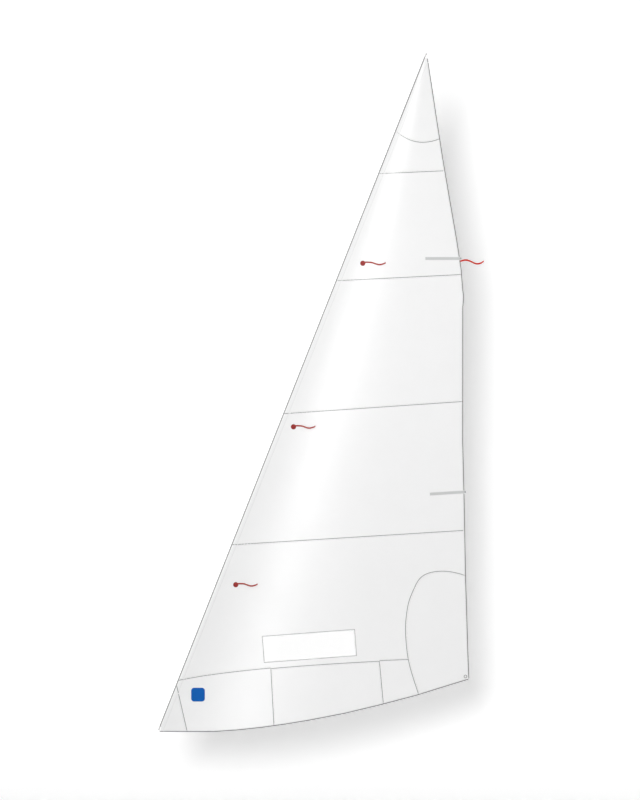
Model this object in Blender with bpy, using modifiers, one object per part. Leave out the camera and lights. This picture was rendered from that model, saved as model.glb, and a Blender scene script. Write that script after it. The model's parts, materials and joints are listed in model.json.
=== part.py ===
"""Jib sail of a small sailing boat: wire luff, overlapped cloth panels, window, battens and telltales.

Metres. X runs aft along the boat, Z runs up, and -Y is the port side. The origin is the middle of the
tack eye, on the luff wire. The set sail is part of a cone whose straight lines all meet at the head, so
every layer of cloth is cut from one faceted sheet, moved sideways, and neighbours never touch.
"""

import math

import bmesh
import bpy
from mathutils import Matrix, Vector

# Sail plan
LUFF_LENGTH = 4.90
RAKE = math.radians(21.59)
CLEW_AFT = 2.088
CLEW_UP = 0.352
# Roach of the leech outside the straight line from head to clew, as (share of the line, metres out)
LEECH_SHAPE = (
    (0.045, 0.016),
    (0.109, 0.038),
    (0.173, 0.0615),
    (0.237, 0.0887),
    (0.302, 0.1173),
    (0.350, 0.1338),
    (0.382, 0.1350),
    (0.393, 0.1385),
    (0.410, 0.1271),
    (0.620, 0.0664),
    (0.715, 0.0492),
    (0.842, 0.0228),
    (0.969, 0.0032),
)
# Round of the foot below the straight line from tack to clew, as (share of the line, metres out)
FOOT_SHAPE = (
    (0.094, 0.0347),
    (0.172, 0.0628),
    (0.250, 0.0790),
    (0.324, 0.0886),
    (0.400, 0.0935),
    (0.478, 0.0945),
    (0.594, 0.0884),
    (0.711, 0.0716),
    (0.828, 0.0489),
    (0.907, 0.0261),
)

# Set shape: depth as a share of the chord, and the share of the chord behind which the cloth runs straight.
# The chord is taken to a straight line from the head that passes this far behind the clew.
DRAFT = 0.10
DRAFT_END = 0.68
CHORD_PAST_CLEW = 0.177
FRONT_COLUMNS = 22
SHEET_FRONT = -0.02
SHEET_BACK = 1.22
SHEET_LOW = -0.12
SHEET_BELOW_HEAD = 0.012

# Cloth
CLOTH = 0.0003
CLEAR = 0.0003
PITCH = CLOTH + CLEAR
SEAM_LAP = 0.015
SLEEVE_WIDTH = 0.035
TAPE_WIDTH = 0.012
CLEW_SPLIT = math.radians(53.5)

# Seams, as height at the luff and height at the leech
SEAM_1 = (3.737, 3.757)
SEAM_2 = (3.024, 3.066)
SEAM_3 = (2.129, 2.211)
SEAM_4 = (1.255, 1.352)
FOOT_SEAM = (
    (0.0, 0.315),
    (0.135, 0.342),
    (0.364, 0.381),
    (0.712, 0.421),
    (1.128, 0.454),
    (1.637, 0.481),
    (2.400, 0.502),
)
FOOT_CUT_1 = ((0.754, 0.46), (0.780, -0.02))
FOOT_CUT_2 = ((1.482, 0.53), (1.522, 0.10))

# Corner patches
HEAD_PATCH_LUFF = 0.571
HEAD_PATCH_LEECH = 0.584
HEAD_PATCH_BULGE = 0.0485
TACK_PATCH_LUFF = 0.344
TACK_PATCH_FOOT = 0.200
# Outline of the clew patch, from the clew, leech end first
CLEW_PATCH = (
    (-0.015, 0.692),
    (-0.076, 0.712),
    (-0.156, 0.7256),
    (-0.237, 0.722),
    (-0.300, 0.702),
    (-0.343, 0.665),
    (-0.377, 0.598),
    (-0.404, 0.531),
    (-0.4188, 0.464),
    (-0.4295, 0.364),
    (-0.4268, 0.263),
    (-0.4107, 0.129),
    (-0.374, -0.005),
    (-0.325, -0.150),
)

# Window
WINDOW_MIDDLE = (1.0164, 0.5749)
WINDOW_LENGTH = 0.625
WINDOW_DEPTH = 0.181
WINDOW_TILT = math.radians(4.3)
WINDOW_LAP = 0.012

# Battens, as height where they leave the leech, and tilt
BATTEN_LENGTH = 0.238
BATTEN_WIDTH = 0.013
BATTEN_THICK = 0.0016
BATTEN_PROUD = 0.010
POCKET_EDGE = 0.0027
POCKET_END = 0.003
BATTEN_CAP_LENGTH = 0.009
BATTEN_CAP_WALL = 0.0006
BATTENS = {"upper": (3.171, 0.0), "lower": (1.607, math.radians(3.6))}

# Telltales, as height of the dot and its distance behind the luff
DOT_RADIUS = 0.0175
TELLTALES = {"upper": (3.139, 0.132), "middle": (2.0435, 0.101), "lower": (0.9856, 0.133)}
# A port ribbon starts this far above its dot's middle, and a starboard one as far below
RIBBON_RAISED = 0.006
RIBBON_WIDTH = 0.010
RIBBON_BEND_ROOM = 1.1
LEECH_RIBBON_BELOW_BATTEN = 0.021
LEECH_RIBBON_ROOT = 0.006
# Middle line of a ribbon as it streams, as (distance behind its root, height)
RIBBON_PATH = (
    (0.0, 0.0),
    (0.030, 0.001),
    (0.060, -0.001),
    (0.085, -0.009),
    (0.110, -0.015),
    (0.135, -0.011),
    (0.156, -0.002),
)
LEECH_RIBBON_PATH = (
    (0.0, 0.0),
    (0.020, 0.007),
    (0.042, 0.0105),
    (0.065, 0.007),
    (0.085, -0.001),
    (0.105, -0.010),
    (0.126, -0.0145),
    (0.150, -0.010),
    (0.172, 0.004),
)

# Generic patch near the tack
BADGE_MIDDLE = (0.270, 0.249)
BADGE_SIDE = 0.092
BADGE_CORNER = 0.020

# Luff wire, the sleeve round it, and its eyes
WIRE_RADIUS = 0.0016
WIRE_ROOM = 0.0004
SLEEVE_WALL = 0.0004
THIMBLE_BORE = 0.0050
THIMBLE_WALL = 0.0014
THIMBLE_RIM = 0.0011
THIMBLE_SIDE = 0.0013
THROAT = 0.0117
THROAT_BEND = 0.004
FERRULE_LENGTH = 0.014
FERRULE_WALL = 0.0008
FERRULE_ROOM = 0.004
TAIL_GAP = 0.0006
EYE_ROOM = 0.0021
PANEL_ROOM = 0.001

# Clew eyelet
EYELET_BORE = 0.0065
EYELET_WALL = 0.0010
EYELET_FLANGE_WIDTH = 0.0045
EYELET_LIP_WIDTH = 0.0017
EYELET_PLATE = 0.0008
EYELET_MARGIN = 0.0015

# Worked out from the sizes above
ALONG = Vector((math.sin(RAKE), 0.0, math.cos(RAKE)))
AFT = Vector((math.cos(RAKE), 0.0, -math.sin(RAKE)))
HEAD = ALONG * LUFF_LENGTH
CLEW = Vector((CLEW_AFT, 0.0, CLEW_UP))
TACK = Vector((0.0, 0.0, 0.0))
CHORD_SPREAD = (CLEW_AFT + CHORD_PAST_CLEW - CLEW_UP * math.tan(RAKE)) / (HEAD.z - CLEW_UP)
STACK_TAPE = 2.5 * PITCH + CLOTH / 2
STACK_TAPE_INSIDE = 2.5 * PITCH - CLOTH / 2
STACK_PATCH = 1.5 * PITCH + CLOTH / 2
POCKET_WIDTH = BATTEN_WIDTH + 2 * CLEAR + 2 * POCKET_EDGE
SLEEVE_BORE = WIRE_RADIUS + WIRE_ROOM
SLEEVE_RADIUS = SLEEVE_BORE + SLEEVE_WALL
CLOTH_FROM_WIRE = SLEEVE_BORE + PANEL_ROOM
GROOVE_RADIUS = WIRE_RADIUS + CLEAR
EYE_RADIUS = THIMBLE_BORE + THIMBLE_WALL + GROOVE_RADIUS
THIMBLE_FLANGE = EYE_RADIUS + THIMBLE_RIM
THIMBLE_HALF_WIDTH = GROOVE_RADIUS + THIMBLE_SIDE
FERRULE_START = EYE_RADIUS + THROAT
TAIL_OFFSET = 2 * WIRE_RADIUS + TAIL_GAP
CLOTH_START = FERRULE_START + FERRULE_LENGTH + FERRULE_ROOM
LUFF_CUT_BACK = EYE_RADIUS + WIRE_RADIUS + EYE_ROOM
EYELET_BARREL = EYELET_BORE + EYELET_WALL
EYELET_FLANGE = EYELET_BARREL + EYELET_FLANGE_WIDTH
EYELET_LIP = EYELET_BARREL + EYELET_LIP_WIDTH
EYELET_FROM_EDGE = TAPE_WIDTH + EYELET_MARGIN + EYELET_FLANGE

# How far cutters reach past the sail, past a small piece, and through the cloth
FAR = 0.5
SIDE_REACH = CLEW_AFT + 2 * FAR
OVERRUN = 0.05
THROUGH = 0.02


def clear_scene():
    for obj in list(bpy.data.objects):
        bpy.data.objects.remove(obj, do_unlink=True)


def new_collection(name):
    collection = bpy.data.collections.new(name)
    bpy.context.scene.collection.children.link(collection)
    return collection


def material(name, colour, roughness, metallic=0.0, alpha=1.0):
    made = bpy.data.materials.new(name)
    made.use_nodes = True
    shader = made.node_tree.nodes["Principled BSDF"]
    shader.inputs["Base Color"].default_value = (*colour, 1.0)
    shader.inputs["Roughness"].default_value = roughness
    shader.inputs["Metallic"].default_value = metallic
    shader.inputs["Alpha"].default_value = alpha
    return made


def luff_x(z):
    return z * math.tan(RAKE)


def camber(share):
    """Depth of the section at a share of the chord, 1 at its deepest, straight behind DRAFT_END."""
    if share < 0.0:
        return share * (3.0 / DRAFT_END - 1.0) * CAMBER_SCALE
    front = max(0.0, 1.0 - share / DRAFT_END)
    return CAMBER_SCALE * ((1.0 - share) - front**3)


def deepest_share():
    """Where the section is deepest, from the slope of camber being nought."""
    return DRAFT_END * (1.0 - math.sqrt(DRAFT_END / 3.0))


CAMBER_SCALE = 1.0 / (1.0 - deepest_share() - (1.0 - deepest_share() / DRAFT_END) ** 3)


def hang_slope():
    """Sideways slope of the chords that brings the middle of the cloth under the luff wire."""
    steps = 200
    shares = [(i + 0.5) / steps for i in range(steps)]
    return DRAFT * sum(camber(s) for s in shares) / sum(shares)


LEAN = hang_slope()


def sheet_y(x, z):
    """Sideways place of the smooth sheet. Its straight lines run to the head."""
    chord = CHORD_SPREAD * (HEAD.z - z)
    share = (x - luff_x(z)) / chord
    return chord * (LEAN * share - DRAFT * camber(share))


def on_sheet(x, z, off=0.0):
    return Vector((x, sheet_y(x, z) + off, z))


def port_normal(x, z):
    """Unit normal of the sheet, out of its port face."""
    step = 0.0005
    slope_x = (sheet_y(x + step, z) - sheet_y(x - step, z)) / (2 * step)
    slope_z = (sheet_y(x, z + step) - sheet_y(x, z - step)) / (2 * step)
    return Vector((slope_x, -1.0, slope_z)).normalized()


def shares_of_sheet():
    """Chord shares of the sheet's straight lines, closer together where it bends most."""
    bend = [DRAFT_END * (i / FRONT_COLUMNS) ** 1.15 for i in range(FRONT_COLUMNS + 1)]
    return [SHEET_FRONT] + bend + [SHEET_BACK]


def smooth_through(points, steps=4):
    """Points of a smooth curve through the given 2D points."""
    ends = [points[0], *points, points[-1]]
    found = []
    for a, b, c, d in zip(ends, ends[1:], ends[2:], ends[3:]):
        for i in range(steps):
            t = i / steps
            found.append(tuple(spline_value(p, q, r, s, t) for p, q, r, s in zip(a, b, c, d)))
    return found + [tuple(points[-1])]


def spline_value(before, start, end, after, t):
    """A cubic from start at t = 0 to end at t = 1, whose slopes follow the neighbours."""
    square = (2 * before - 5 * start + 4 * end - after) * t**2
    cube = (3 * start - before - 3 * end + after) * t**3
    return 0.5 * (2 * start + (end - before) * t + square + cube)


def off_line(start, end, shape):
    """Points out from the straight line between two corners, to the right hand of its direction."""
    run = end - start
    out = Vector((-run.z, 0.0, run.x)).normalized()
    return [start + run * share + out * depth for share, depth in shape]


def edge_points():
    """Foot and leech from tack to head, as (x, z)."""
    foot = off_line(TACK, CLEW, [(share, -depth) for share, depth in FOOT_SHAPE])
    leech = off_line(HEAD, CLEW, LEECH_SHAPE)
    corners = [TACK, *foot, CLEW, *reversed(leech), HEAD]
    return [(p.x, p.z) for p in corners]


def inset_edges(inset):
    """The foot and leech moved into the sail by inset, run on past tack and head, and closed in front."""
    points = edge_points()
    found = []
    for i, (x, z) in enumerate(points):
        before = Vector(points[max(i - 1, 0)])
        after = Vector(points[min(i + 1, len(points) - 1)])
        here = Vector((x, z))
        runs = [(b - a).normalized() for a, b in ((before, here), (here, after)) if (b - a).length > 0]
        normals = [Vector((-run.y, run.x)) for run in runs]
        middle = sum(normals, Vector((0.0, 0.0))).normalized()
        found.append(here + middle * inset / middle.dot(normals[0]))
    first_run = (found[0] - found[1]).normalized()
    last_run = (found[-1] - found[-2]).normalized()
    start = found[0] + first_run * FAR
    end = found[-1] + last_run * FAR / 2
    closing = [(start.x - FAR, end.y), (start.x - FAR, start.y)]
    return [(start.x, start.y)] + [(p.x, p.y) for p in found] + [(end.x, end.y)] + closing


def luff_place(along, aft):
    p = ALONG * along + AFT * aft
    return (p.x, p.z)


def luff_box(along_from, along_to, aft_from, aft_to):
    """Rectangle square to the luff, as (x, z)."""
    return [
        luff_place(along_from, aft_from),
        luff_place(along_from, aft_to),
        luff_place(along_to, aft_to),
        luff_place(along_to, aft_from),
    ]


def rectangle(middle, length, depth, tilt):
    along = Vector((math.cos(tilt), math.sin(tilt)))
    up = Vector((-math.sin(tilt), math.cos(tilt)))
    corners = ((-1, -1), (1, -1), (1, 1), (-1, 1))
    found = [Vector(middle) + along * a * length / 2 + up * b * depth / 2 for a, b in corners]
    return [tuple(p) for p in found]


def circle(middle, radius, steps=20):
    turns = [2 * math.pi * i / steps for i in range(steps)]
    return [(middle[0] + radius * math.cos(a), middle[1] + radius * math.sin(a)) for a in turns]


def leech_x(z):
    """Where the leech is at a height."""
    leech = edge_points()[len(FOOT_SHAPE) + 1 :]
    for (x1, z1), (x2, z2) in zip(leech, leech[1:]):
        if z1 <= z <= z2:
            return x1 + (x2 - x1) * (z - z1) / (z2 - z1)
    return leech[-1][0]


def as_mesh(curve_object, name):
    """A mesh object of a curve object's shape, its caps welded, in the same place."""
    graph = bpy.context.evaluated_depsgraph_get()
    mesh = bpy.data.meshes.new_from_object(curve_object.evaluated_get(graph))
    work = bmesh.new()
    work.from_mesh(mesh)
    bmesh.ops.remove_doubles(work, verts=work.verts, dist=1e-6)
    bmesh.ops.recalc_face_normals(work, faces=work.faces)
    work.to_mesh(mesh)
    work.free()
    made = bpy.data.objects.new(name, mesh)
    made.matrix_world = curve_object.matrix_world.copy()
    bpy.data.objects.remove(curve_object, do_unlink=True)
    return made


def add_cutter(obj):
    obj.hide_render = True
    obj.display_type = "WIRE"
    cutters.objects.link(obj)
    return obj


def prism(name, outline):
    """A cutter: an outline in the side view, carried straight across the sail."""
    curve = bpy.data.curves.new(name, "CURVE")
    curve.dimensions = "2D"
    curve.fill_mode = "BOTH"
    curve.extrude = FAR
    spline = curve.splines.new("POLY")
    spline.points.add(len(outline) - 1)
    for point, (x, z) in zip(spline.points, outline):
        point.co = (x, z, 0.0, 1.0)
    spline.use_cyclic_u = True
    flat = bpy.data.objects.new(name + "_outline", curve)
    cutters.objects.link(flat)
    flat.rotation_euler = (math.pi / 2, 0.0, 0.0)
    bpy.context.view_layer.update()
    return add_cutter(as_mesh(flat, name))


def slab_mesh(name, low, high):
    """The whole sheet between two sideways offsets, wider and longer than the sail."""
    shares = shares_of_sheet()
    heights = (SHEET_LOW, HEAD.z - SHEET_BELOW_HEAD)
    work = bmesh.new()
    made = bmesh.ops.create_grid(work, x_segments=len(shares) - 1, y_segments=1, size=1.0)
    for vert in made["verts"]:
        column = round((vert.co.x + 1.0) / 2.0 * (len(shares) - 1))
        z = heights[0] if vert.co.y < 0.0 else heights[1]
        x = luff_x(z) + shares[column] * CHORD_SPREAD * (HEAD.z - z)
        vert.co = on_sheet(x, z, low)
    raised = bmesh.ops.extrude_face_region(work, geom=work.faces[:])
    moved = [item for item in raised["geom"] if isinstance(item, bmesh.types.BMVert)]
    bmesh.ops.translate(work, verts=moved, vec=(0.0, high - low, 0.0))
    bmesh.ops.recalc_face_normals(work, faces=work.faces)
    mesh = bpy.data.meshes.new(name)
    work.to_mesh(mesh)
    work.free()
    return mesh


def boolean(obj, operation, tool, solver="EXACT"):
    modifier = obj.modifiers.new(operation.lower() + "_" + tool.name, "BOOLEAN")
    modifier.operation = operation
    modifier.solver = solver
    modifier.object = tool


def keep(obj, *tools):
    for tool in tools:
        boolean(obj, "INTERSECT", tool)


def cut(obj, *tools):
    for tool in tools:
        boolean(obj, "DIFFERENCE", tool)


def add_part(obj, finish):
    sail.objects.link(obj)
    obj.data.materials.clear()
    obj.data.materials.append(finish)
    return obj


def slab(name, low, high, finish=None):
    """The sheet between two offsets: a part if it has a finish, or else a cutter."""
    obj = bpy.data.objects.new(name, slab_mesh(name, low, high))
    return add_part(obj, finish) if finish else add_cutter(obj)


def layer(number):
    """Sideways offsets of one cloth layer: 0 and 1 lie each side of the sheet, port is negative."""
    middle = (number - 0.5) * PITCH
    return middle - CLOTH / 2, middle + CLOTH / 2


def cloth(name, number, finish, *outlines):
    """One layer of cloth inside the sail's edges and all the given prisms."""
    obj = slab(name, *layer(number), finish)
    keep(obj, inside_edges, behind_wire, *outlines)
    return obj


def height_on_seam(seam, x):
    """Height of a straight seam's line at any distance aft."""
    at_luff = Vector((luff_x(seam[0]), seam[0]))
    at_leech = Vector((leech_x(seam[1]), seam[1]))
    slope = (at_leech.y - at_luff.y) / (at_leech.x - at_luff.x)
    return at_luff.y + slope * (x - at_luff.x)


def seam_line(seam, lap=0.0):
    """A straight seam's line, run on in front of the luff and behind the leech, raised by lap."""
    return [(x, height_on_seam(seam, x) + lap) for x in (-FAR, SIDE_REACH)]


def panel_layer(x, z):
    """The layer of the panel at a place above the foot panels: they take turns from layer 0."""
    seams_below = [seam for seam in (SEAM_1, SEAM_2, SEAM_3, SEAM_4) if height_on_seam(seam, x) < z]
    return len(seams_below) % 2


def band(name, low, high, low_lap=0.0, high_lap=0.0):
    """Prism between two straight seams, each given as height at luff and leech."""
    below = seam_line(low, -low_lap)
    above = seam_line(high, high_lap) if high else [(-FAR, HEAD.z + FAR), (SIDE_REACH, HEAD.z + FAR)]
    return prism(name, [below[0], below[1], above[1], above[0]])


def seam_height(x):
    """Height of the curved seam above the foot panels."""
    points = smooth_through(FOOT_SEAM)
    for (x1, z1), (x2, z2) in zip(points, points[1:]):
        if x1 <= x <= x2:
            return z1 + (z2 - z1) * (x - x1) / (x2 - x1)
    return points[-1][1]


def foot_seam(start, end, lift=0.0):
    """The curved seam between two places along it, raised by lift."""
    inner = [x for x, _ in smooth_through(FOOT_SEAM) if start < x < end]
    return [(x, seam_height(x) + lift) for x in (start, *inner, end)]


def cut_place(seam_cut, shift=0.0):
    """Where a cross seam of the foot meets the curved seam, and where it passes the foot."""
    (top_x, top_z), (low_x, low_z) = seam_cut
    run = (low_x - top_x) / (low_z - top_z)
    meeting = top_x + run * (seam_height(top_x) - top_z)
    return meeting + shift, low_x + run * (-FAR - low_z) + shift


def make_panels():
    """The cloth panels. Neighbours lie in different layers and lap at their seams."""
    cloth("head_panel", 0, white, band("above_seam_1", SEAM_1, None))
    cloth("upper_panel", 1, white, band("seams_1_2", SEAM_2, SEAM_1, SEAM_LAP, SEAM_LAP))
    cloth("upper_middle_panel", 0, white, band("seams_2_3", SEAM_3, SEAM_2))
    cloth("lower_middle_panel", 1, white, band("seams_3_4", SEAM_4, SEAM_3, SEAM_LAP, SEAM_LAP))

    meet_1, low_1 = cut_place(FOOT_CUT_1)
    meet_2, low_2 = cut_place(FOOT_CUT_2)
    front = FOOT_SEAM[0][0]
    back = FOOT_SEAM[-1][0]
    lower_edge = foot_seam(front, meet_1) + foot_seam(meet_1, meet_2, -SEAM_LAP) + foot_seam(meet_2, back)
    upper_edge = reversed(seam_line(SEAM_4))
    outline = [(-FAR, lower_edge[0][1]), *lower_edge, (SIDE_REACH, lower_edge[-1][1]), *upper_edge]
    window_panel = cloth("window_panel", 0, white, prism("window_panel_outline", outline))
    lap = 2 * WINDOW_LAP
    opening = rectangle(WINDOW_MIDDLE, WINDOW_LENGTH - lap, WINDOW_DEPTH - lap, WINDOW_TILT)
    cut(window_panel, prism("window_opening", opening))

    top = foot_seam(front, meet_1 + SEAM_LAP, SEAM_LAP)
    outline = [(-FAR, -FAR), (low_1 + SEAM_LAP, -FAR), *reversed(top), (-FAR, top[0][1])]
    cloth("foot_panel_tack", 1, white, prism("foot_tack_outline", outline))

    outline = [(low_1, -FAR), (low_2, -FAR), *reversed(foot_seam(meet_1, meet_2))]
    cloth("foot_panel_middle", -1, white, prism("foot_middle_outline", outline))

    top = foot_seam(meet_2 - SEAM_LAP, back, SEAM_LAP)
    outline = [(low_2 - SEAM_LAP, -FAR), (SIDE_REACH, -FAR), (SIDE_REACH, top[-1][1]), *reversed(top)]
    panel = cloth("foot_panel_clew", 1, white, prism("foot_clew_outline", outline))
    cut(panel, clew_hole)


def make_window():
    outline = rectangle(WINDOW_MIDDLE, WINDOW_LENGTH, WINDOW_DEPTH, WINDOW_TILT)
    cloth("window_pane", -1, clear_film, prism("window_outline", outline))


def arc_between(start, end, bulge, steps=12):
    """Points of a round arc, bulge metres to the right of the way from start to end."""
    a, b = Vector(start), Vector(end)
    run = b - a
    side = Vector((run.y, -run.x)).normalized()
    found = []
    for i in range(steps + 1):
        share = i / steps
        found.append(tuple(a + run * share + side * bulge * (1.0 - (2.0 * share - 1.0) ** 2)))
    return found


def make_patches():
    """Corner patches, the same shape on both sides of the cloth."""
    luff_end = luff_place(LUFF_LENGTH - HEAD_PATCH_LUFF, 0.0)
    leech_end_z = HEAD.z - HEAD_PATCH_LEECH
    leech_end = (leech_x(leech_end_z), leech_end_z)
    arc = arc_between(luff_end, leech_end, HEAD_PATCH_BULGE)
    above = [(SIDE_REACH, arc[-1][1]), (SIDE_REACH, HEAD.z + FAR), (-FAR, HEAD.z + FAR), (-FAR, arc[0][1])]
    head = prism("head_patch_outline", arc + above)

    top = luff_place(TACK_PATCH_LUFF, 0.0)
    slope = Vector((TACK_PATCH_FOOT, 0.0)) - Vector(top)
    low = Vector((TACK_PATCH_FOOT, 0.0)) + slope
    high = Vector(top) - slope
    tack = prism("tack_patch_outline", [(-FAR, low.y), tuple(low), tuple(high), (-FAR, high.y)])

    curve = [(CLEW_AFT + x, CLEW_UP + z) for x, z in smooth_through(CLEW_PATCH, 3)]
    outline = [(CLEW_AFT + FAR, curve[0][1]), *curve, (CLEW_AFT + FAR, curve[-1][1])]
    clew = prism("clew_patch_outline", outline)

    for side, number in (("port", -1), ("starboard", 2)):
        cloth("head_patch_" + side, number, white_patch, head)
        cloth("tack_patch_" + side, number, white_patch, tack)
        patch = cloth("clew_patch_" + side, number, white_patch, clew)
        cut(patch, clew_hole)


def luff_cylinder(name, radius, low, high):
    """A cutter round the luff wire's line."""
    work = bmesh.new()
    size = {"radius1": radius, "radius2": radius, "depth": high - low}
    bmesh.ops.create_cone(work, cap_ends=True, segments=16, **size)
    mesh = bpy.data.meshes.new(name)
    work.to_mesh(mesh)
    work.free()
    obj = bpy.data.objects.new(name, mesh)
    obj.location = ALONG * (low + high) / 2
    obj.rotation_euler = (0.0, RAKE, 0.0)
    return add_cutter(obj)


def make_luff_sleeve():
    """A tape folded round the wire, with a leg down each side of the cloth, open at both ends."""
    top = LUFF_LENGTH - CLOTH_START
    sleeve = slab("luff_sleeve", -STACK_TAPE, STACK_TAPE, white_tape)
    strip = prism("sleeve_strip", luff_box(-FAR, top, CLEAR, SLEEVE_WIDTH))
    keep(sleeve, outer_edges, strip)
    boolean(sleeve, "UNION", luff_cylinder("sleeve_tube", SLEEVE_RADIUS, CLOTH_START, top))
    inside = slab("sleeve_inside", -STACK_TAPE_INSIDE, STACK_TAPE_INSIDE)
    strip = luff_box(-FAR, LUFF_LENGTH + FAR, SLEEVE_BORE / 2, SLEEVE_WIDTH + FAR)
    keep(inside, prism("sleeve_inside_strip", strip))
    boolean(sleeve, "DIFFERENCE", inside, "MANIFOLD")
    cut(sleeve, luff_cylinder("sleeve_bore", SLEEVE_BORE, -FAR, LUFF_LENGTH + FAR), tack_notch)


def clew_split(shift):
    """A line out of the clew that parts the leech tape from the foot tape, moved down by shift."""
    corner = Vector((CLEW_AFT, CLEW_UP - shift))
    run = Vector((-math.sin(CLEW_SPLIT), math.cos(CLEW_SPLIT)))
    return tuple(corner - run * 2 * FAR), tuple(corner + run * 2 * FAR)


def make_edge_tapes():
    """Tapes folded over leech and foot. The luff sleeve and the battens go through gaps in them."""
    inside = slab("tape_inside", -STACK_TAPE_INSIDE, STACK_TAPE_INSIDE)
    keep(inside, prism("tape_inside_edges", inset_edges(CLOTH)))
    inner = prism("tape_inner_edge", inset_edges(TAPE_WIDTH))
    sleeve_room = prism("sleeve_room", luff_box(-FAR, LUFF_LENGTH + FAR, -FAR, SLEEVE_WIDTH + CLEAR))

    leech = slab("leech_tape", -STACK_TAPE, STACK_TAPE, white_tape)
    outside, inboard = clew_split(0.0)
    top = HEAD.z + FAR
    side = [outside, (SIDE_REACH, outside[1]), (SIDE_REACH, top), (inboard[0], top), inboard]
    keep(leech, outer_edges, prism("leech_side", side))
    cut(leech, inner, inside, sleeve_room)
    for name, batten in BATTENS.items():
        gap = slab(name + "_tape_gap", -THROUGH, 0.0)
        room = strip_along(batten, -BATTEN_LENGTH, OVERRUN, POCKET_WIDTH + 2 * CLEAR)
        keep(gap, prism(name + "_tape_gap_outline", room))
        cut(leech, gap)

    foot = slab("foot_tape", -STACK_TAPE, STACK_TAPE, white_tape)
    outside, inboard = clew_split(2 * CLEAR)
    side = [outside, inboard, (-FAR, inboard[1]), (-FAR, outside[1])]
    keep(foot, outer_edges, prism("foot_side", side))
    cut(foot, inner, inside, sleeve_room)


def batten_frame(batten):
    """Where a batten crosses the leech, and its direction, both in the side view."""
    height, tilt = batten
    return Vector((leech_x(height), height)), Vector((math.cos(tilt), math.sin(tilt)))


def strip_along(batten, from_leech, to_leech, width):
    leech, along = batten_frame(batten)
    tilt = batten[1]
    middle = leech + along * (from_leech + to_leech) / 2
    return rectangle(tuple(middle), to_leech - from_leech, width, tilt)


def batten_prism(name, batten, from_leech, to_leech, width):
    return prism(name, strip_along(batten, from_leech, to_leech, width))


def make_batten(name, batten):
    """A pocket open at the leech, the batten in it, and the cap on the batten's end."""
    high = -PITCH / 2 + CLOTH / 2
    low = high - BATTEN_THICK
    start = BATTEN_PROUD - BATTEN_LENGTH
    room = start - CLEAR
    room_width = BATTEN_WIDTH + 2 * CLEAR

    pocket = slab(name + "_batten_pocket", low - CLEAR - CLOTH, high, grey_cloth)
    outline = batten_prism(name + "_pocket_outline", batten, room - POCKET_END, 0.0, POCKET_WIDTH)
    keep(pocket, outer_edges, outline)
    tunnel = slab(name + "_tunnel", low - CLEAR, THROUGH)
    keep(tunnel, batten_prism(name + "_tunnel_outline", batten, room, OVERRUN, room_width))
    cut(pocket, tunnel)

    stick = slab(name + "_batten", low, high, batten_grey)
    keep(stick, batten_prism(name + "_batten_outline", batten, start, BATTEN_PROUD, BATTEN_WIDTH))

    wall = BATTEN_CAP_WALL + CLEAR
    cap_end = BATTEN_PROUD + wall
    cap = slab(name + "_batten_cap", low - wall, high + wall, cap_grey)
    cap_width = BATTEN_WIDTH + 2 * wall
    keep(cap, batten_prism(name + "_cap_outline", batten, cap_end - BATTEN_CAP_LENGTH, cap_end, cap_width))
    socket = slab(name + "_cap_socket", low - CLEAR, high + CLEAR)
    keep(socket, batten_prism(name + "_socket_outline", batten, -OVERRUN, BATTEN_PROUD + CLEAR, room_width))
    cut(cap, socket)


def ribbon_mesh(name, path, frame, bend):
    """A flat ribbon along a path, starting a little ahead of its root."""
    out, aft, up = frame
    line = [(-RIBBON_WIDTH / 2, path[0][1]), *smooth_through(path, 2)]
    work = bmesh.new()
    edges = []
    for along, height in line:
        middle = aft * along + up * height + out * (bend * max(along, 0.0) ** 2 / 2)
        edges.append([work.verts.new(middle + up * side * RIBBON_WIDTH / 2) for side in (-1, 1)])
    for (low, high), (next_low, next_high) in zip(edges, edges[1:]):
        work.faces.new((low, next_low, next_high, high))
    mesh = bpy.data.meshes.new(name)
    work.to_mesh(mesh)
    work.free()
    return mesh


def surface_frame(x, z):
    """Directions on the sheet: out of its port face, level and aft along it, and up along it."""
    out = port_normal(x, z)
    aft = Vector((-out.y, out.x, 0.0)).normalized()
    return out, aft, out.cross(aft)


def add_ribbon(name, root, path, frame, bend=0.0):
    """A ribbon from root. frame holds the way it bends to, the way it runs, and its upper edge's way."""
    obj = bpy.data.objects.new(name, ribbon_mesh(name, path, frame, bend))
    obj.location = root
    add_part(obj, red_ribbon)
    thick = obj.modifiers.new("thickness", "SOLIDIFY")
    thick.thickness = CLOTH
    thick.offset = 0.0
    return obj


def sheet_bend(x, z):
    """How fast the sheet curves along its chord there, per metre."""
    chord = CHORD_SPREAD * (HEAD.z - z)
    share = (x - luff_x(z)) / chord
    return DRAFT * CAMBER_SCALE * 6.0 / DRAFT_END**2 * (1.0 - share / DRAFT_END) / chord


def ribbon_root(x, z, face, raised):
    """Middle of a ribbon's root over a cloth face that lies face metres from the sheet, port negative."""
    out, _, up = surface_frame(x, z)
    bulge = sheet_bend(x, z) * DOT_RADIUS**2 / 2
    return on_sheet(x, z, face) + up * raised + out * math.copysign(bulge + CLEAR + CLOTH / 2, -face)


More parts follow.
